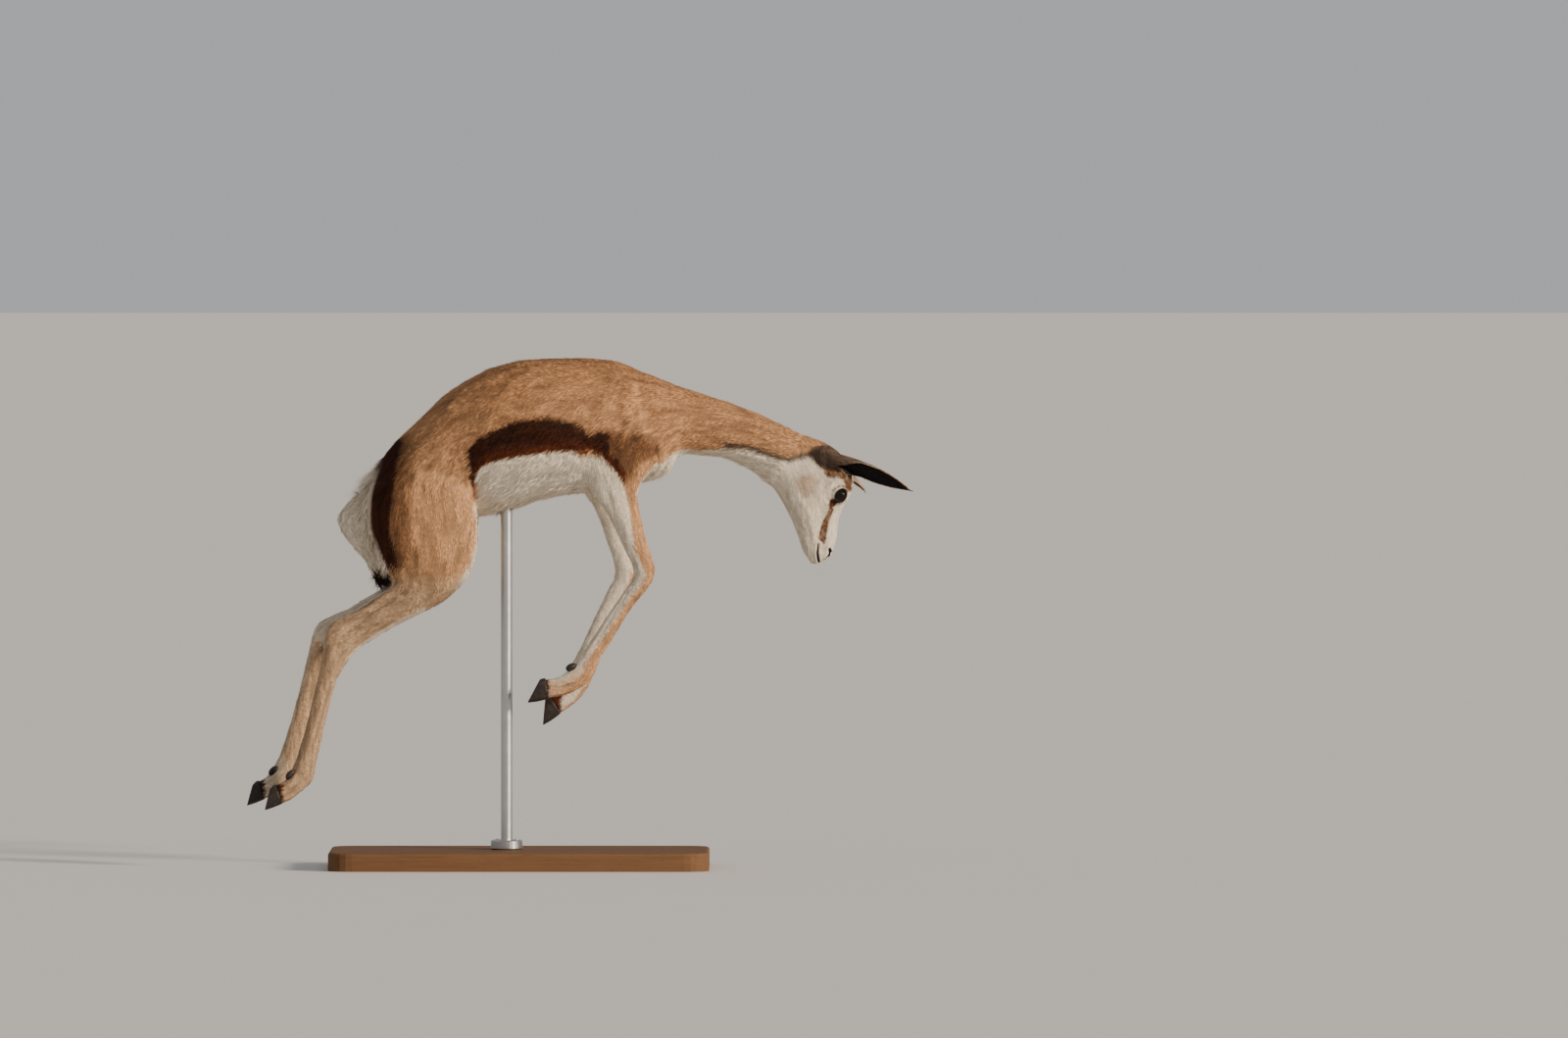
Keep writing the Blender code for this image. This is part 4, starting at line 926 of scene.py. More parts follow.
def markings(places, normals, regions):
    """Return the distance in millimetres inside each marking, positive within it."""
    sides = np.where(legs_side(regions) == 0, np.sign(places[:, 1] + NEAR_ZERO), legs_side(regions))
    outward = normals[:, 1] * sides
    ahead = normals[:, 0]
    flat = places[:, (0, 2)].copy()
    for word in LEFT_SHIFTS:
        flat[:, 0] -= left_shift(flat[:, 1], regions, word)
    hind = is_region(regions, "leg_hind")
    fore = is_region(regions, "leg_fore")
    trunk = regions == TORSO
    neck = regions == NECK
    head = regions == HEAD
    height = places[:, 2]
    marks = {name: np.full(len(places), FAR_OUT) for name in MARKS}

    def mark(name, mask, *values):
        """Write the largest of some values into one marking where the mask holds."""
        marks[name][mask] = np.maximum.reduce(values)[mask]

    stripe = inside_distance(flat, FLANK_STRIPE)
    rear = behind(flat, RUMP_LINE)
    belly = below(flat, BELLY_LINE)
    crest = np.minimum(1.7 - np.abs(places[:, 1]), (52 - np.abs(places[:, 0] + 112)) * 0.12)
    throat = below(flat, NECK_WHITE_LINE)
    chest = np.minimum(below(flat, CHEST_LINE), (286 - flat[:, 0]) * 0.5)
    chest = np.where(flat[:, 0] > 180, chest, FAR_OUT)
    outer = outward * 30 + 8
    facing = outward * 20
    band = np.minimum(inside_distance(flat, THIGH_BAND), outer)
    # Painted shade beside the thigh band and in the shoulder's crease, partly brown hair.
    shade = np.minimum(inside_distance(flat, THIGH_SHADE), outer)
    arm = np.minimum(inside_distance(flat, ARM_BROWN_AND_SHADE), outer)
    stripe = np.where(height > 708, stripe * 0.45, stripe)
    stripe = np.maximum(stripe, np.minimum(inside_distance(flat, ARM_EDGE) * 0.8, outer))
    top = np.minimum(crest, normals[:, 2] * 40)
    mark("dark", trunk, stripe, band)
    mark("umber", trunk, shade * 0.5, arm)
    mark("pale", trunk, belly, rear, top, chest)
    mark("pale", neck, throat, chest)

    upper_hind = is_region(regions, "hind", "upper")
    spot = np.minimum(inside_distance(flat, KNEE_SPOT) * 0.8, facing)
    inner = (-outward - 0.30) * 26
    brink = (ahead * 0.62 - normals[:, 2] * 0.78 - 0.62) * 22
    front = np.minimum((ahead - 0.80 - outward * 0.3) * 26, (640 - height) * 0.2)
    mark("dark", upper_hind, band, stripe)
    mark("umber", upper_hind, shade * 0.5, spot - 4)
    mark("pale", upper_hind, rear, inner, brink, front)
    mark("fawn", hind, (470 - height) * 0.35)
    shank = is_region(regions, "shank")
    behind_shank = (-0.28 - (ahead * 0.5 - normals[:, 2] * 0.35) - outward * 0.75) * 14
    mark("pale", shank, behind_shank, brink)
    low_leg = is_region(regions, "cannon") | is_region(regions, "foot")
    lean = np.interp(height, (120, 190), (-0.15, -0.85))
    mark("pale", hind & low_leg, (lean - ahead * 0.70 - outward * 0.45) * 9)

    upper_fore = is_region(regions, "fore", "upper")
    back_of_arm = behind(flat, FORELEG_LINE)
    mark("dark", upper_fore, np.minimum(stripe, outward * 30 + 6))
    mark("umber", upper_fore, arm)
    mark("pale", upper_fore, np.minimum(back_of_arm, 676 - height), inner, chest)
    mark("pale", is_region(regions, "forearm"), np.minimum(back_of_arm, 40), inner)
    turn = np.interp(height, (290, 470), (0.12, 0.20))
    mark("pale", fore & low_leg, (turn - ahead * 0.80 - outward * 0.20) * 12)

    mark("pale", head, -inside_distance(flat, CROWN_PATCH))
    tear = inside_distance(flat, TEAR_CORNER)
    brow = 1.5 - line_distance(flat, BROW_LINE)
    rusty = np.maximum(inside_distance(flat, RUST_STRIPE), inside_distance(flat, FOREHEAD_PATCH))
    mark("rust", head, np.minimum(rusty + 0.8, (0.97 - np.abs(ahead)) * 60))
    mark("dark", head, np.minimum(np.maximum(tear, brow), facing))
    mark("fawn", head, np.minimum(inside_distance(flat, CHEEK_PATCH), facing))
    # Painted shade, partly grey-brown hair: a dark line under the fold of the jaw and ear, and the ears'
    # roots.
    dusk_and_shadow_line = (5.0 - line_distance(flat, NECK_DUSK_AND_SHADOW_LINE)) * 0.8
    root = np.minimum(inside_distance(flat, EAR_ROOT_GREY_AND_SHADE), facing + 4)
    mark("dusk", neck | head, root, dusk_and_shadow_line)

    tail = regions == TAIL
    marks["pale"][tail] = 20.0
    mark("dark", tail, 490 - height)
    mark("umber", tail, 500 - height)
    for kind, side_name in LEGS:
        low, high = claw_box(kind, side_name)
        fringe = 2.4 - np.maximum(low - places, places - high).max(axis=1)
        mark("dark", is_region(regions, f"leg_{kind}_{side_name}_foot"), np.minimum(fringe, 4.0))
    mouth, nostril = muzzle_gaps(places, normals)
    lip = np.interp(height, (506, 530), (2.1, 0.9))
    wing = np.interp(height, (499, 509, 520), (4.8, 4.0, 2.8))
    mark("black", head, lip - mouth, wing - nostril)
    for side_name, side in SIDES.items():
        _, reach, ring = lid_ring(places, side)
        rim = np.where(reach < 24, (1.06 - ring) * 10, FAR_OUT)
        mark("black", head, marks["black"], rim)
        this_ear = np.nonzero(is_region(regions, f"ear_{side_name}"))[0]
        if len(this_ear):
            black, pale, dusk = ear_marks(places[this_ear], normals[this_ear], EARS[side_name])
            share, _ = ear_share(places[this_ear], EARS[side_name])
            marks["fawn"][this_ear] = (share - 0.5) * 60
            # The ear's lining is painted dark as shade of its hollow.
            marks["black"][this_ear] = black
            marks["pale"][this_ear] = pale
            marks["dusk"][this_ear] = dusk
    return marks


def ear_marks(places, normals, placed):
    """Return an ear's markings: the dark lining, painted shade of the ear's hollow; its pale rim, partly pale
    hair and partly a painted highlight along the edge; and the dusky root, partly grey-brown hair and partly
    painted shade.
    """
    base, axis, opening, sideways, length = ear_frame(placed)
    share, _ = ear_share(places, placed)
    t = np.clip((share * length + EAR_STEM) / (length + EAR_STEM), 0, 1)
    offset = places - np.array(base)
    aside = offset - (offset @ np.array(axis))[:, None] * np.array(axis)
    twist = np.radians(placed.twist_deg) * (1 - t) ** 1.5
    beside = aside @ np.array(sideways)
    through = aside @ np.array(opening) / EAR_FLATNESS
    turned = np.arctan2(beside, -through)
    turned = np.abs((turned + twist + np.pi) % (2 * np.pi) - np.pi)
    radius, half_angle, _ = ear_section(t)
    stretched = np.hypot(beside, through)
    lining = (unit(aside) * normals).sum(axis=1) < 0.3
    rim_gap = (half_angle - turned) * radius
    within = np.maximum(rim_gap - 1.2, radius - stretched - 2.8)
    # The lining is painted dark as shade of the ear's hollow.
    black = np.where(lining & (t > 0.13), within, FAR_OUT)
    # A thin pale line on the outer side of the rim: partly pale hair, partly a painted highlight where the
    # edge catches light.
    pale = np.where(lining, -within, 0.6 - rim_gap)
    # The ear's root is darkened: partly grey-brown hair, partly painted shade at the ear's base.
    dusk = np.where(lining, (0.30 - t) * 60, (0.56 - t) * 20)
    return black, np.where(t < 0.13, FAR_OUT, pale), dusk


def tinted(colour, factors):
    """Return a colour with its channels multiplied, at most 1 each."""
    return tuple(min(1.0, channel * factor) for channel, factor in zip(colour, factors))


def coat_material(name, is_skin):
    """Return the coat's material: colours by the markings, carried by skin and tufts alike."""
    colours = bpy.context.scene.springbok_coat
    shade = Shade(name)
    place = shade.place()
    ragged = shade.noise(place, 260.0, 2.0) - 0.5
    broad = shade.noise(place, 14.0, 3.0)
    fine = shade.noise(place, 420.0, 3.0)
    # The shade attribute is painted shade in the skin's gaps and at the tufts' roots, lighter towards the
    # tufts' tips, with random tone.
    lit = shade.attribute("shade")

    def marking(mark, soft, jitter):
        """Return one marking as a share, with a soft and ragged edge in millimetres."""
        return (shade.attribute(mark) + ragged * jitter).stepped(-soft, soft)

    height = shade.node("SeparateXYZ", {}, {0: place}, output="Z")
    deep_tan = tinted(colours.tan, (0.74, 0.66, 0.58))
    light_tan = tinted(colours.tan, (1.18, 1.26, 1.36))
    upper = (height + broad * 0.10).stepped(0.60, 0.90)
    tan = shade.mix(upper * 0.55 + broad * 0.25, light_tan, deep_tan)
    cream = shade.mix(broad, colours.cream, tinted(colours.cream, (0.90, 0.86, 0.80)))
    streak = shade.attribute("streak")
    blush = shade.attribute("blush")
    red = (shade.attribute("pale") + ragged * 8.0).stepped(-30.0, 0.0)
    reddish = tinted(colours.chocolate, (4.2, 3.4, 2.6))
    brown = shade.mix(red * blush * 0.7 + streak * 0.15, colours.chocolate, reddish)
    colour = shade.mix(marking("fawn", 9.0, 8.0), tan, colours.fawn)
    # Soft brown, partly painted shade beside the thigh band and in the shoulder's crease.
    colour = shade.mix(marking("umber", 9.0, 8.0) * 0.80, colour, colours.umber)
    colour = shade.mix(marking("pale", 3.0, 6.0), colour, cream)
    colour = shade.mix(marking("fawn", 6.0, 6.0) * blush, colour, colours.fawn)
    # Grey-brown at the neck's dark line and the ears' roots, partly painted shade.
    colour = shade.mix(marking("dusk", 4.0, 5.0) * 0.90, colour, DUSK_AND_SHADE)
    colour = shade.mix(marking("dark", 2.6, 7.0), colour, brown)
    mottled = shade.noise(place, 150.0, 3.0).stepped(0.34, 0.62) * 0.22 + 0.78
    colour = shade.mix(marking("rust", 2.0, 5.0) * mottled, colour, colours.rust)
    colour = shade.mix(marking("black", 0.7, 0.8), colour, colours.black)
    swing = 0.75 - marking("pale", 3.0, 6.0) * 0.45
    shading = (lit * 1.00 + (streak - 0.5) * swing + fine * 0.20 + 0.42).math("MAXIMUM", 0.25)
    grey = shade.node("CombineXYZ", {}, {0: shading, 1: shading, 2: shading})
    colour = shade.mix(1.0, colour, grey, "MULTIPLY")
    shade.set(Base_Color=colour, Roughness=fine * 0.15 + 0.58, Specular_IOR_Level=0.13)
    if is_skin:
        hair = shade.noise(shade.scaled(place, (1.0, 2.6, 2.0)), 480.0, 2.0)
        shade.bump(hair, 0.5, 0.0006)
    return shade.material


# Tufts
def packed_charts(charts, flat):
    """Lay the charts side by side in a unit square and return each root's place in it."""
    boxes = []
    for chart in np.unique(charts):
        mask = charts == chart
        low = flat[mask].min(axis=0)
        size = flat[mask].max(axis=0) - low + 2 * PATCH
        boxes.append((chart, low, size))
    boxes.sort(key=lambda box: -box[2][1])
    scale = 3.0
    spots = None
    while spots is None:
        spots = shelves(boxes, scale)
        scale *= 0.93
    uv = np.zeros((len(charts), 2))
    for chart, (low, corner, used) in spots.items():
        mask = charts == chart
        uv[mask] = corner + (flat[mask] - low) * used + PATCH
    return uv


def shelves(boxes, scale):
    """Place boxes on shelves at one scale; return nothing when they don't fit."""
    x = y = tall = 0.0
    spots = {}
    for chart, low, size in boxes:
        wide, high = size * scale + 2 * PATCH
        if x + wide > 1.0:
            x = 0.0
            y += tall
            tall = 0.0
        if wide > 1.0 or y + high > 1.0:
            return None
        spots[chart] = (low, np.array((x, y)), scale)
        x += wide
        tall = max(tall, high)
    return spots


def tuft_mesh(name, roots, ups, ways, lengths, widths, lifts, bends, pattern):
    """Return a mesh of closed tapering tufts with the faces of one tuft in a fixed order."""
    across = unit(np.cross(ways, ups))
    low = unit(ways * np.cos(lifts)[:, None] + ups * np.sin(lifts)[:, None])
    half = across * (widths / 2)[:, None]
    ridge = ups * (widths * 0.30)[:, None]
    base = roots - ups * (widths * 0.35)[:, None]
    if pattern is LONG_TUFT:
        middle = base + low * (lengths * 0.5)[:, None] + ups * bends[:, None] * 0.5
        tip = base + low * lengths[:, None] - ups * bends[:, None] * 0.4
        stack = (base - half, base + half, base + ridge,
                 middle - half * 0.8, middle + half * 0.8, middle + ridge * 0.8, tip)
    else:
        tip = base + low * lengths[:, None]
        stack = (base - half, base + half, base + ridge, tip)
    points = np.stack(stack, axis=1)
    size = points.shape[1]
    starts = np.arange(len(roots)) * size
    triangles = (starts[:, None, None] + np.array(pattern)[None, :, :]).reshape(-1, 3)
    return mesh_from(name, points.reshape(-1, 3), triangles), size


Coat = namedtuple("Coat", "name words side shares pattern")


def coat_table():
    """Return the coat's pieces in the order of their seeds."""
    rows = []
    for side_name, side in SIDES.items():
        rows.append(Coat(f"coat_trunk_{side_name}", ("torso",), side, COAT_SHARES["torso"], SHORT_TUFT))
        for kind, parts in LEG_PARTS.items():
            for part in parts:
                name = f"coat_{kind}_{side_name}_" + ("thigh" if part == "upper" else part)
                words = (f"leg_{kind}_{side_name}", part)
                rows.append(Coat(name, words, 0, COAT_SHARES[part], SHORT_TUFT))
        rows.append(Coat(f"coat_ear_{side_name}", (f"ear_{side_name}",), 0, COAT_SHARES["ear"], SHORT_TUFT))
    for word, pattern in (("neck", SHORT_TUFT), ("head", SHORT_TUFT), ("tail", LONG_TUFT)):
        rows.append(Coat(f"coat_{word}", (word,), 0, COAT_SHARES[word], pattern))
    return rows


class SkinData:
    """Arrays of the finished skin, read once and shared by the coat's pieces."""

    def __init__(self, mesh):
        self.points = points_of(mesh)
        self.normals = points_of(mesh, normals=True)
        self.corners = corners_of(mesh)
        self.lie = np.column_stack([read(mesh, f"lie_{axis}") for axis in "xyz"])
        self.region = read(mesh, "region").round().astype(int)
        self.streak = read(mesh, "streak")[:, None]
        a, b, c = (self.points[self.corners[:, i]] for i in range(3))
        self.areas = np.linalg.norm(np.cross(b - a, c - a), axis=1) / 2
        self.face_region = self.region[self.corners[:, 0]]


def place_roots(skin, faces, count, rng):
    """Scatter roots evenly by area over some of the skin's faces."""
    areas = skin.areas[faces]
    sums = np.cumsum(areas)
    picks = (np.arange(count) + rng.random(count)) / count * sums[-1]
    chosen = faces[np.searchsorted(sums, picks).clip(0, len(faces) - 1)]
    u = rng.random(count)
    v = rng.random(count)
    over = u + v > 1
    u[over] = 1 - u[over]
    v[over] = 1 - v[over]
    weights = np.column_stack((1 - u - v, u, v))
    corners = skin.corners[chosen]
    blend = [(rows[corners] * weights[:, :, None]).sum(axis=1)
             for rows in (skin.points, skin.normals, skin.lie, skin.streak)]
    return blend[0], unit(blend[1]), unit(blend[2]), blend[3][:, 0], chosen


def bare_places(places, normals):
    """Return a mask of places that carry no hair: lips, nostrils and the opening of the lids."""
    mouth, nostril = muzzle_gaps(places, normals)
    bare = (mouth < 2.2) | (nostril < 4.4)
    for side in SIDES.values():
        _, reach, ring = lid_ring(places, side)
        bare |= (ring < 1.12) & (reach < 22)
    return bare


def trimmed(name, lengths, places, ups, unlined):
    """Return a piece's hair lengths, changed along the head, the tail and the left ear's unlined fur."""
    if name == "coat_head":
        lengths = lengths * np.interp(places[:, 2], (500, 570, 660), (0.7, 0.9, 1.6))
        mouth, nostril = muzzle_gaps(places, ups)
        return lengths * np.clip(np.minimum(mouth / 6, nostril / 9), 0.35, 1)
    if name == "coat_ear_left":
        share, _ = ear_share(places, EARS["left"])
        return lengths * (1 + 0.9 * np.clip((share - 0.5) / 0.35, 0, 1) * unlined)
    if name == "coat_tail":
        return lengths * np.interp(places[:, 2], (470, 520, 560), (1.1, 1.1, 0.8))
    return lengths


def make_coat(row, skin, material, settings, seed):
    """Build one piece of the coat."""
    rng = np.random.default_rng(seed)
    mask = is_region(skin.face_region, *row.words)
    if row.side:
        middle = skin.points[skin.corners].mean(axis=1)[:, 1]
        mask &= middle * row.side >= 0
    faces = np.nonzero(mask)[0]
    spacing = settings.spacing * row.shares.spacing
    count = int(min(skin.areas[faces].sum() / spacing ** 2, COAT_TRIANGLES / len(row.pattern)))
    rows = place_roots(skin, faces, count, rng)
    keep = ~bare_places(rows[0] / MM, rows[1])
    roots, ups, ways, streak, chosen = (values[keep] for values in rows)
    places = roots / MM
    count = len(roots)
    regions = skin.face_region[chosen]
    marks = markings(places, ups, regions)
    ways = unit(ways + np.cross(ways, ups) * rng.normal(0, 0.13, count)[:, None])
    ways = unit(ways - ups * (ways * ups).sum(axis=1)[:, None])
    fluff = 1 + 0.45 * np.clip(marks["pale"] / 10, 0, 1) * np.isin(regions, (TORSO, NECK))
    rump = np.clip(behind(places[:, (0, 2)], RUMP_LINE) / 6, 0, 1)
    rump *= is_region(regions, "leg_hind", "upper") | (regions == TORSO)
    crest = (marks["pale"] > 0) & (regions == TORSO) & (ups[:, 2] > 0.6)
    fluff += 0.9 * rump + 0.2 * crest
    length = settings.body_hair * row.shares.length
    lengths = length * fluff * rng.uniform(0.72, 1.2, count) * (0.8 + 0.4 * streak)
    lengths = trimmed(row.name, lengths, places, ups, marks["black"] < 0)
    widths = settings.hair_width * row.shares.width * rng.uniform(0.8, 1.2, count)
    lifts = np.radians(row.shares.lift_deg) * rng.uniform(0.5, 1.3, count) * fluff * (0.55 + 0.9 * streak)
    lifts *= 1 + 1.2 * rump * streak
    bends = lengths * rng.uniform(0.02, 0.16, count)
    mesh, size = tuft_mesh(row.name, roots, ups, ways, lengths, widths, lifts, bends, row.pattern)
    for mark, values in marks.items():
        store(mesh, mark, np.repeat(values, size))
    # Random tone per tuft, with painted shade darkening its root and a lighter tip.
    calm = np.where((marks["pale"] > -2) | (regions == HEAD), 0.55, 1.0)
    tone_and_painted_shade = np.repeat(0.45 + rng.uniform(-0.45, 0.45, count) * calm, size).reshape(-1, size)
    tone_and_painted_shade[:, -1] += 0.45
    tone_and_painted_shade[:, :3] -= 0.20
    store(mesh, "shade", tone_and_painted_shade.ravel())
    store(mesh, "streak", np.repeat(streak, size))
    store(mesh, "blush", np.repeat(blush_of(places, regions), size))
    write_patches(mesh, roots, ups, regions, size)
    soft = np.repeat(ups, size, axis=0)
    own = points_of(mesh, normals=True)
    mesh.normals_split_custom_set_from_vertices(unit(soft * 0.52 + own * 0.48).tolist())
    finish_piece(linked(row.name, mesh), material, slot_of(row.name))


def slot_of(name):
    """Return the record's slot for a piece of the coat; the forearms share the slot of the ears."""
    for word, slot in (("head", "face"), ("ear", "ear"), ("tail", "rump")):
        if word in name:
            return slot
    return "coat"


def write_patches(mesh, roots, ups, regions, size):
    """Write the OFBake map: each tuft is a small patch at its root's place on the skin's charts."""
    main = np.abs(ups).argmax(axis=1)
    sign = (ups[np.arange(len(ups)), main] > 0).astype(int)
    charts = regions * 6 + main * 2 + sign
    others = np.array(((1, 2), (0, 2), (0, 1)))[main]
    flat = np.take_along_axis(roots, others, axis=1)
    uv = packed_charts(charts, flat)
    corner = np.zeros((size, 2))
    corner[:, 0] = np.linspace(0, PATCH, size)
    corner[1::2, 1] = PATCH * 0.5
    corner[-1] = (PATCH * 0.5, PATCH)
    spots = (uv[:, None, :] + corner[None, :, :]).reshape(-1, 2)
    layer = mesh.uv_layers.new(name="OFBake")
    layer.data.foreach_set("uv", spots[corners_of(mesh).ravel()].astype(np.float32).ravel())


# Bristles by Geometry Nodes
def bristle_tree(name, material):
    """Return a node tree that sets a thin cone on every point, aimed by an attribute."""
    tree = bpy.data.node_groups.new(name, "GeometryNodeTree")
    face = tree.interface
    sockets = {"Geometry": "Geometry", "Length": "Float", "Radius": "Float", "Seed": "Int"}
    for socket, kind in sockets.items():
        face.new_socket(socket, in_out="INPUT", socket_type=f"NodeSocket{kind}")
    face.new_socket("Geometry", in_out="OUTPUT", socket_type="NodeSocketGeometry")
    new = tree.nodes.new
    link = tree.links.new
    start = new("NodeGroupInput")
    end = new("NodeGroupOutput")
    cone = new("GeometryNodeMeshCone")
    cone.inputs["Vertices"].default_value = BRISTLE_CORNERS
    cone.inputs["Radius Top"].default_value = BRISTLE_TIP
    aim = new("GeometryNodeInputNamedAttribute")
    aim.data_type = "FLOAT_VECTOR"
    aim.inputs["Name"].default_value = "aim"
    turn = new("FunctionNodeAlignRotationToVector")
    size = new("FunctionNodeRandomValue")
    size.inputs[2].default_value = 0.7
    size.inputs[3].default_value = 1.1
    place = new("GeometryNodeInstanceOnPoints")
    real = new("GeometryNodeRealizeInstances")
    paint = new("GeometryNodeSetMaterial")
    paint.inputs["Material"].default_value = material
    link(start.outputs["Length"], cone.inputs["Depth"])
    link(start.outputs["Radius"], cone.inputs["Radius Bottom"])
    link(start.outputs["Seed"], size.inputs["Seed"])
    link(aim.outputs["Attribute"], turn.inputs["Vector"])
    link(start.outputs["Geometry"], place.inputs["Points"])
    link(cone.outputs["Mesh"], place.inputs["Instance"])
    link(turn.outputs["Rotation"], place.inputs["Rotation"])
    link(size.outputs[1], place.inputs["Scale"])
    link(place.outputs["Instances"], real.inputs["Geometry"])
    link(real.outputs["Geometry"], paint.inputs["Geometry"])
    link(paint.outputs["Geometry"], end.inputs["Geometry"])
    return tree


def bristles(name, points, aims, length, radius, seed, material):
    """Return an object with one bristle on each point."""
    mesh = bpy.data.meshes.new(name)
    mesh.from_pydata([tuple(point) for point in points], [], [])
    layer = mesh.attributes.new("aim", "FLOAT_VECTOR", "POINT")
    layer.data.foreach_set("vector", np.array(aims, dtype=np.float32).ravel())
    thing = linked(name, mesh)
    grower = thing.modifiers.new("bristles", "NODES")
    grower.node_group = bristle_tree(name, material)
    values = {"Length": length, "Radius": radius, "Seed": seed}
    for item in grower.node_group.interface.items_tree:
        if item.name in values:
            grower[item.identifier] = values[item.name]
    bake(thing)
    return thing


def plain_dark(name, colour, roughness):
    """Return a dark skin or hair material with a little variation."""
    shade = Shade(name)
    place = shade.place()
    spot = shade.noise(place, 600.0, 3.0)
    light = tuple(min(1.0, c * 1.9 + 0.004) for c in colour)
    shade.set(Base_Color=shade.mix(spot, colour, light), Roughness=spot * 0.2 + roughness,
              Specular_IOR_Level=0.2)
    shade.bump(spot, 0.4, 0.0003)
    return shade.material


class SPRINGBOK_OT_stage(bpy.types.Operator):
    """Build the floor, the lights and the camera."""

    bl_idname = "springbok.stage"
    bl_label = "Stage"

    def execute(self, context):
        settings = context.scene.springbok_stage
        corners = [(FLOOR_HALF * x, FLOOR_HALF * y, 0) for x, y in ((-1, -1), (1, -1), (1, 1), (-1, 1))]
        floor = linked("floor", mesh_from("floor", corners, [(0, 1, 2), (0, 2, 3)], smooth=False))
        shade = Shade("floor_paint")
        spot = shade.noise(shade.place(), 3.0, 4.0)
        darker = tinted(settings.floor, (0.97, 0.97, 0.97))
        shade.set(Base_Color=shade.mix(spot, settings.floor, darker), Roughness=0.9)
        floor.data.materials.append(shade.material)
        self.light(context, settings)
        self.camera(context)
        return {"FINISHED"}

    def light(self, context, settings):
        """Add a low warm key from ahead of the animal and an even fill."""
        sun = bpy.data.lights.new("key", "SUN")
        sun.energy = settings.key_strength
        sun.angle = math.radians(SUN_ANGLE_DEG)
        sun.color = SUN_COLOUR
        key = bpy.data.objects.new("key", sun)
        key.rotation_euler = Vector(SUN_TOWARD).to_track_quat("Z", "Y").to_euler()
        context.scene.collection.objects.link(key)
        world = bpy.data.worlds.new("studio")
        world.use_nodes = True
        sky = world.node_tree.nodes["Background"]
        sky.inputs["Color"].default_value = (*SKY_COLOUR, 1.0)
        sky.inputs["Strength"].default_value = settings.fill_strength
        context.scene.world = world

    def camera(self, context):
        """Place the camera at the photo's angle."""
        data = bpy.data.cameras.new("camera")
        data.lens = CAMERA_LENS
        data.sensor_width = CAMERA_SENSOR
        data.clip_end = CAMERA_REACH
        camera = bpy.data.objects.new("camera", data)
        camera.location = CAMERA_PLACE
        camera.rotation_euler = (math.radians(90 - CAMERA_PITCH_DEG), 0, 0)
        context.scene.collection.objects.link(camera)
        context.scene.camera = camera


class SPRINGBOK_OT_skin(bpy.types.Operator):
    """Build the one skin that replaces the nodes of flesh."""

    bl_idname = "springbok.skin"
    bl_label = "Skin"

    def execute(self, context):
        made = fused_flesh()
        softened(made)
        thinned(made)
        triangulated(made)
        mesh = made.data
        places = points_of(mesh)
        normals = points_of(mesh, normals=True)
        regions = regions_of(places)
        marks = markings(places / MM, normals, regions)
        lie = lie_of_hair(mesh, places / MM, normals, regions)
        fine = combed(mesh, lie, 5, 0.0005, 11)
        clumps = combed(mesh, lie, 18, 0.10, 12)
        pressed(made, regions, clumps * 0.9 + fine * 0.6 - 0.25)
        normals = points_of(mesh, normals=True)
        lie = unit(lie - normals * (lie * normals).sum(axis=1)[:, None])
        store(mesh, "region", regions)
        for number, axis in enumerate("xyz"):
            store(mesh, f"lie_{axis}", lie[:, number])
        for mark, values in marks.items():
            store(mesh, mark, values)
        # The skin's darkness is painted shade in the gaps between the tufts.
        store(mesh, "shade", np.full(len(mesh.vertices), SKIN_SHADE))
        store(mesh, "blush", blush_of(places / MM, regions))
        store(mesh, "streak", np.clip(0.5 + 1.0 * (fine - 0.5) + 0.15 * (clumps - 0.5), 0, 1))
        finish_piece(made, coat_material("skin_coat", True), "coat", *REGIONS)
        return {"FINISHED"}


class SPRINGBOK_OT_coat(bpy.types.Operator):
    """Cover the skin with short tufts that lie along the body."""

    bl_idname = "springbok.coat"
    bl_label = "Coat"

    def execute(self, context):
        settings = context.scene.springbok_coat
        skin = SkinData(bpy.data.objects["skin"].data)
        material = coat_material("coat_hair", False)
        for number, row in enumerate(coat_table()):
            make_coat(row, skin, material, settings, settings.seed + number)
        return {"FINISHED"}


class SPRINGBOK_OT_tail(bpy.types.Operator):
    """Hang the dark tuft on the tip of the tail."""

    bl_idname = "springbok.tail"
    bl_label = "Tail tuft"

    def execute(self, context):
        settings = context.scene.springbok_coat
        hair = plain_dark("tail_hair", TAIL_DARK, 0.6)
        rng = np.random.default_rng(settings.seed)
        count = settings.tail_hairs
        start = np.array(TAIL_TUFT[0])
        way = np.array(TAIL_TUFT[1]) - start
        spots = rng.normal(0, 1, (count, 3))
        points = start + way * rng.uniform(-0.25, 0.35, count)[:, None] + spots * TAIL_SCATTER
        aims = unit(way / np.linalg.norm(way) + rng.normal(0, TAIL_SPREAD, (count, 3)))
        made = bristles("tail_tuft", points * MM, aims, settings.body_hair * 1.9, TAIL_HAIR_RADIUS,
                        settings.seed, hair)
        finish_piece(made, hair, "rump")
        return {"FINISHED"}


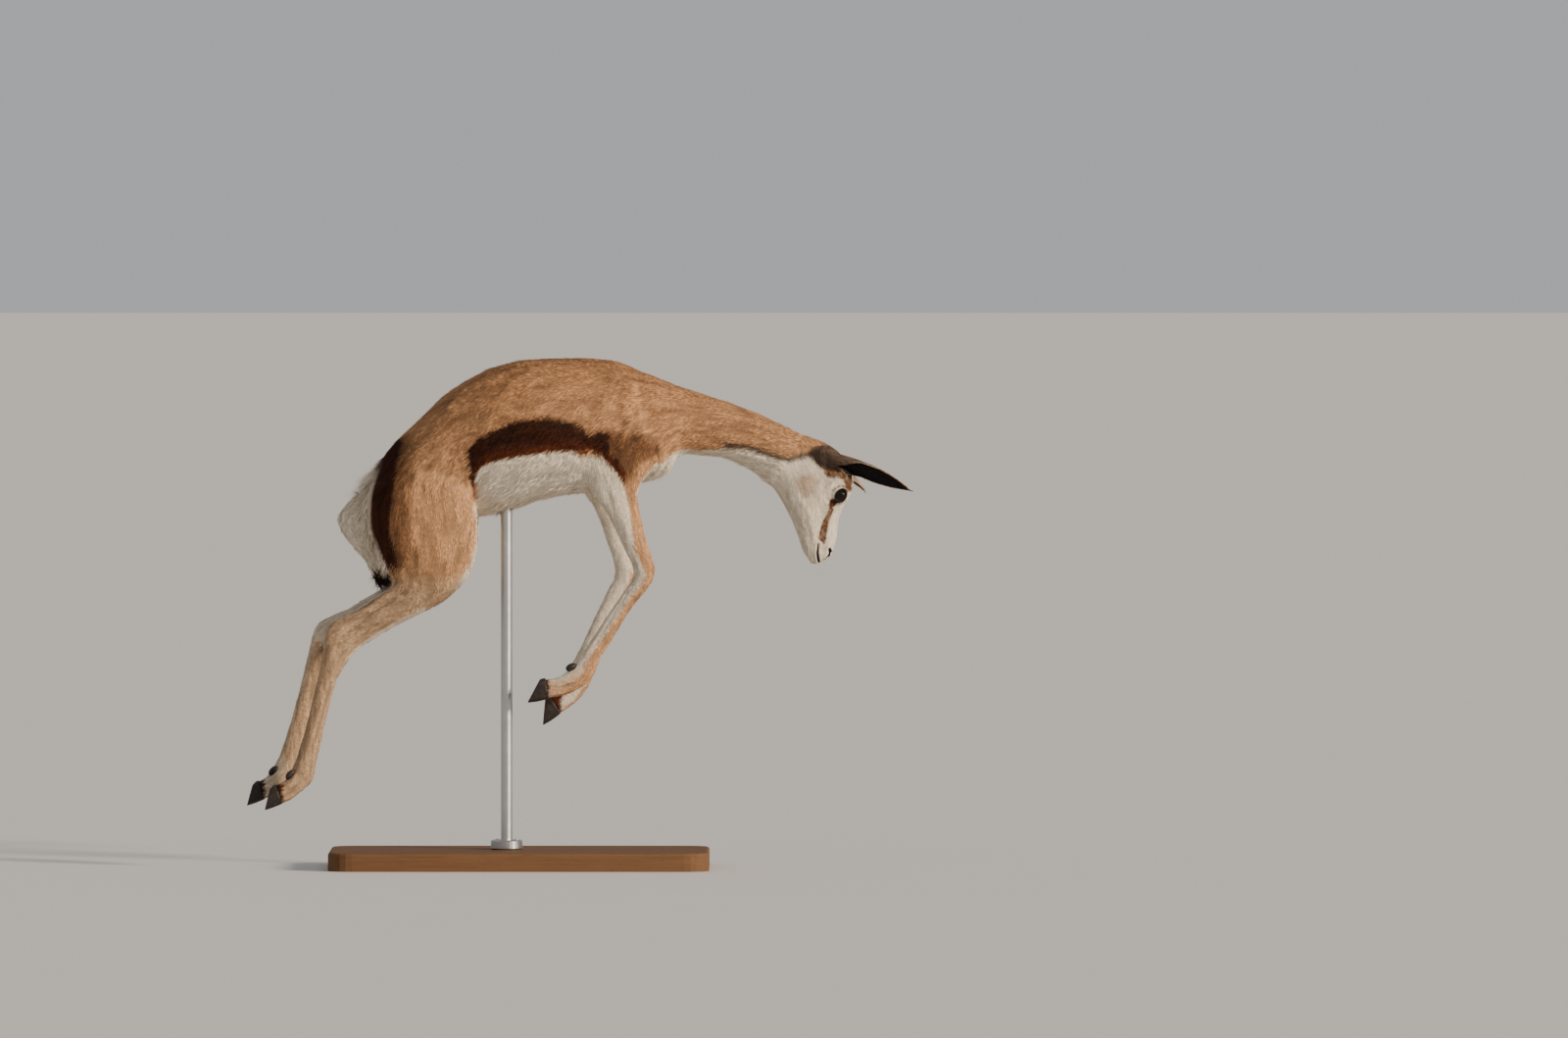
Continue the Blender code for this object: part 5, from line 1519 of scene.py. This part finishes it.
class SPRINGBOK_OT_eyes(bpy.types.Operator):
    """Build the eyeballs, the dark rims of the lids and the lashes."""

    bl_idname = "springbok.eyes"
    bl_label = "Eyes"

    def execute(self, context):
        settings = context.scene.springbok_eyes
        glass = self.eye_material(settings)
        rim_skin = plain_dark("lid_rim_skin", LID_DARK, 0.5)
        lash_hair = plain_dark("lash_hair", LASH_DARK, 0.5)
        for side_name, side in SIDES.items():
            self.ball(side_name, side, glass)
            self.rim(side_name, side, rim_skin)
            self.lashes(side_name, side, lash_hair, settings)
        return {"FINISHED"}

    def eye_material(self, settings):
        """Return the dark glossy eye, with an oblong pupil and a pale arc at its lower edge, a painted
        highlight where the lower lid catches light.
        """
        shade = Shade("eye_glass")
        away = shade.attribute("away")
        pupil = shade.attribute("pupil").stepped(0.95, 1.12)
        streak = shade.noise(shade.place(), 900.0, 2.0)
        iris = shade.mix(streak, settings.iris, tinted(settings.iris, (2.4, 2.4, 2.4)))
        colour = shade.mix(pupil, PUPIL_DARK, iris)
        # A pale arc low on the ball is a painted highlight of the lower lid's edge.
        low = shade.node("SeparateXYZ", {}, {0: shade.place()}, output="Z").stepped(0.607, 0.603)
        ring = away.stepped(0.60, 0.63) * (1.0 - away.stepped(0.66, 0.70)) * low
        colour = shade.mix(ring * 0.9, colour, EYE_ARC_HIGHLIGHT)
        colour = shade.mix(away.stepped(0.86, 0.94), colour, EYE_BORDER)
        shade.set(Base_Color=colour, Roughness=0.06, Specular_IOR_Level=0.06, Coat_Weight=0.35,
                  Coat_Roughness=0.11)
        return shade.material

    def ball(self, side_name, side, glass):
        """Add one eyeball with its bulging cornea."""
        centre, axis, _, _ = eye_frame(side)
        bm = bmesh.new()
        bmesh.ops.create_uvsphere(bm, u_segments=EYE_SEGMENTS, v_segments=EYE_SEGMENTS // 2,
                                  radius=EYE_RADIUS * MM, matrix=Matrix.Identity(4))
        turn = Vector((0, 0, 1)).rotation_difference(axis).to_matrix()
        for vertex in bm.verts:
            direction = turn @ vertex.co.normalized()
            lean = math.acos(max(-1.0, min(1.0, direction.dot(axis))))
            bulge = CORNEA_BULGE * math.exp(-(lean / CORNEA_SPREAD) ** 4)
            vertex.co = (centre + direction * (EYE_RADIUS + bulge - EYE_INSET)) * MM
        made = object_from(bm, f"eyeball_{side_name}")
        places = points_of(made.data) / MM - np.array(centre)
        reach = np.linalg.norm(places, axis=1)
        lean = np.arccos(np.clip(places @ np.array(axis) / reach, -1, 1))
        store(made.data, "away", lean / (math.pi / 2) * 1.35)
        level = np.array((1.0, 0, 0)) - np.array(axis) * axis[0]
        level /= np.linalg.norm(level)
        upright = np.cross(np.array(axis), level)
        oblong = np.sqrt((places @ level / PUPIL_HALF_LENGTH) ** 2
                         + (places @ upright / PUPIL_HALF_HEIGHT) ** 2)
        store(made.data, "pupil", oblong)
        finish_piece(made, glass, "eye", f"eye_{side_name}")

    def rim(self, side_name, side, skin):
        """Add the dark wet rim along the edge of the lids."""
        centre, axis, long_way, short_way = eye_frame(side)
        steps = 72
        around = 8
        rings = []
        bm = bmesh.new()
        for step in range(steps):
            angle = 2 * math.pi * step / steps
            flat = (long_way * math.cos(angle) * LID_OPENING_LENGTH / 2 * 0.95
                    + short_way * math.sin(angle) * LID_OPENING_HEIGHT / 2 * 0.96)
            rise = math.sqrt(max(0.0, (EYE_RADIUS + 1.2) ** 2 - flat.length_squared))
            point = centre + flat + axis * rise
            radial = (point - centre).normalized()
            aside = (flat.normalized() - radial * flat.normalized().dot(radial)).normalized()
            thick = 0.75 + 0.35 * abs(math.cos(angle)) ** 6
            ring = []
            for turn in range(around):
                swing = 2 * math.pi * turn / around
                offset = aside * math.cos(swing) * thick * 1.5 + radial * math.sin(swing) * thick * 0.8
                ring.append(bm.verts.new((point + offset) * MM))
            rings.append(ring)
        for index, first in enumerate(rings):
            second = rings[(index + 1) % steps]
            for turn in range(around):
                after = (turn + 1) % around
                bm.faces.new((first[turn], first[after], second[after], second[turn]))
        made = object_from(bm, f"lid_rim_{side_name}")
        finish_piece(made, skin, "eye")

    def lashes(self, side_name, side, hair, settings):
        """Add the lashes of the upper lid."""
        centre, axis, long_way, short_way = eye_frame(side)
        ahead = short_way if short_way.x > 0 else -short_way
        points = []
        aims = []
        for step in range(settings.lash_count):
            angle = math.radians(12 + 156 * step / (settings.lash_count - 1) + 3 * math.sin(step * 2.3))
            flat = (long_way * math.cos(angle) * LID_OPENING_LENGTH / 2 * 1.04
                    + ahead * math.sin(angle) * LID_OPENING_HEIGHT / 2 * 1.08)
            rise = math.sqrt(max(0.0, (EYE_RADIUS + 2.2) ** 2 - flat.length_squared))
            point = centre + flat + axis * rise
            sway = Vector((0.12 * math.sin(step * 1.7), 0, 0.16 * math.cos(step * 2.9) - 0.25))
            aim = (flat.normalized() * 0.75 + axis * 0.9 + sway).normalized()
            points.append(point * MM)
            aims.append(tuple(aim))
        made = bristles(f"lashes_{side_name}", points, aims, settings.lash_length, LASH_RADIUS, 3, hair)
        finish_piece(made, hair, "eye")


class SPRINGBOK_OT_hooves(bpy.types.Operator):
    """Build finer hooves and dewclaws over the solids of the part."""

    bl_idname = "springbok.hooves"
    bl_label = "Hooves"

    def execute(self, context):
        horn = self.horn_material()
        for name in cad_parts:
            if "claw_" in name:
                bm = bmesh.new()
                add_node(bm, name, HOOF_GROWTH)
                made = object_from(bm, name.replace("claw", "hoof"))
                remesh = made.modifiers.new("fine", "REMESH")
                remesh.mode = "VOXEL"
                remesh.voxel_size = HOOF_VOXEL * MM
                smooth = made.modifiers.new("soften", "SMOOTH")
                smooth.factor = 0.5
                smooth.iterations = HOOF_SMOOTHING
                bake(made)
                triangulated(made)
                finish_piece(made, horn, "horn", name)
        return {"FINISHED"}

    def horn_material(self):
        """Return blackish-brown horn with fine growth rings and worn paler edges."""
        shade = Shade("hoof_horn")
        place = shade.place()
        rings = shade.noise(shade.scaled(place, (0.35, 0.2, 1.4)), 900.0, 2.0)
        worn = shade.noise(place, 130.0, 3.0).stepped(0.52, 0.78)
        colour = shade.mix(rings, HORN_DARK, HORN_RING)
        colour = shade.mix(worn * 0.5, colour, HORN_WORN)
        shade.set(Base_Color=colour, Roughness=worn * 0.25 + 0.42, Specular_IOR_Level=0.3)
        shade.bump(rings, 0.35, 0.0004)
        return shade.material


class SPRINGBOK_OT_stand(bpy.types.Operator):
    """Finish the wooden base, the steel rod and its collar, with screws."""

    bl_idname = "springbok.stand"
    bl_label = "Stand"

    def execute(self, context):
        settings = context.scene.springbok_stand
        wood = self.wood_material(settings)
        steel = self.steel_material()
        self.coat_node("stand_base", wood)
        self.coat_node("stand_rod", steel)
        self.coat_node("stand_collar", steel)
        self.screws(settings, steel)
        return {"FINISHED"}

    def coat_node(self, name, material):
        """Give a CAD node's object a better material."""
        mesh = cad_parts[name].data
        if len(mesh.materials) == 0:
            mesh.materials.append(material)
        for index in range(len(mesh.materials)):
            mesh.materials[index] = material

    def wood_material(self, settings):
        """Return oiled walnut with long grain, pores and a satin finish."""
        shade = Shade("base_wood")
        place = shade.place()
        drift = shade.noise(shade.scaled(place, (1.0, 5.0, 5.0)), 3.0, 4.0)
        grain = shade.noise(shade.scaled(place, (3.0, 60.0, 60.0)), 4.0, 4.0, 0.62)
        pores = shade.noise(shade.scaled(place, (10.0, 220.0, 220.0)), 5.0, 2.0).stepped(0.62, 0.74)
        share = (drift * 0.6 + grain * 0.7 - 0.15).clamped()
        colour = shade.mix(share, settings.grain, settings.wood)
        colour = shade.mix(pores * 0.7, colour, tinted(settings.grain, (0.45, 0.45, 0.45)))
        shade.set(Base_Color=colour, Roughness=grain * 0.2 + 0.60, Specular_IOR_Level=0.10)
        shade.bump(grain - pores * 0.8, 0.25, 0.0005)
        return shade.material

    def steel_material(self):
        """Return brushed steel."""
        shade = Shade("brushed_steel")
        place = shade.place()
        brush = shade.noise(shade.scaled(place, (1.0, 1.0, 0.05)), 2600.0, 2.0)
        smudge = shade.noise(place, 30.0, 3.0)
        colour = shade.mix(smudge, STEEL_DARK, STEEL_LIGHT)
        shade.set(Base_Color=colour, Metallic=1.0, Roughness=brush * 0.16 + smudge * 0.1 + 0.22)
        shade.bump(brush, 0.12, 0.0002)
        return shade.material

    def screws(self, settings, steel):
        """Set low round-headed screws in the top of the collar."""
        bm = bmesh.new()
        for number in range(settings.screw_count):
            turn = 2 * math.pi * (number + 0.25) / settings.screw_count
            x = (ROD_X + SCREW_CIRCLE * math.cos(turn)) * MM
            y = SCREW_CIRCLE * math.sin(turn) * MM
            z = (BASE_HEIGHT + COLLAR_HEIGHT) * MM
            place = Matrix.Translation((x, y, z)) @ Matrix.Diagonal((1, 1, SCREW_FLATTENING, 1))
            bmesh.ops.create_uvsphere(bm, u_segments=20, v_segments=10, radius=SCREW_RADIUS * MM,
                                      matrix=place)
        made = object_from(bm, "collar_screws")
        finish_piece(made, steel, "rod_steel")


class SPRINGBOK_PT_panel(bpy.types.Panel):
    """Lists the settings and the steps."""

    bl_idname = "SPRINGBOK_PT_panel"
    bl_label = "Springbok"
    bl_space_type = "VIEW_3D"
    bl_region_type = "UI"
    bl_category = "Springbok"

    def draw(self, context):
        layout = self.layout
        for name in SETTINGS:
            group = getattr(context.scene, name)
            box = layout.box()
            for key in group.bl_rna.properties.keys():
                if key not in ("rna_type", "name"):
                    box.prop(group, key)
        for operator in OPERATORS:
            layout.operator(operator.bl_idname)


SETTINGS = {
    "springbok_coat": CoatSettings,
    "springbok_eyes": EyeSettings,
    "springbok_stand": StandSettings,
    "springbok_stage": StageSettings,
}
OPERATORS = (SPRINGBOK_OT_stage, SPRINGBOK_OT_skin, SPRINGBOK_OT_coat, SPRINGBOK_OT_tail, SPRINGBOK_OT_eyes,
             SPRINGBOK_OT_hooves, SPRINGBOK_OT_stand)


def register():
    """Register the classes and the scene's settings."""
    for group in SETTINGS.values():
        bpy.utils.register_class(group)
    for operator in OPERATORS:
        bpy.utils.register_class(operator)
    bpy.utils.register_class(SPRINGBOK_PT_panel)
    for name, group in SETTINGS.items():
        setattr(bpy.types.Scene, name, PointerProperty(type=group))


def unregister():
    """Take back everything that register added."""
    for name in SETTINGS:
        delattr(bpy.types.Scene, name)
    bpy.utils.unregister_class(SPRINGBOK_PT_panel)
    for operator in reversed(OPERATORS):
        bpy.utils.unregister_class(operator)
    for group in reversed(SETTINGS.values()):
        bpy.utils.unregister_class(group)


def main():
    """Run every step in order."""
    register()
    bpy.ops.springbok.stage()
    bpy.ops.springbok.skin()
    bpy.ops.springbok.coat()
    bpy.ops.springbok.tail()
    bpy.ops.springbok.eyes()
    bpy.ops.springbok.hooves()
    bpy.ops.springbok.stand()
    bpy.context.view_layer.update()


if __name__ == "__main__":
    main()
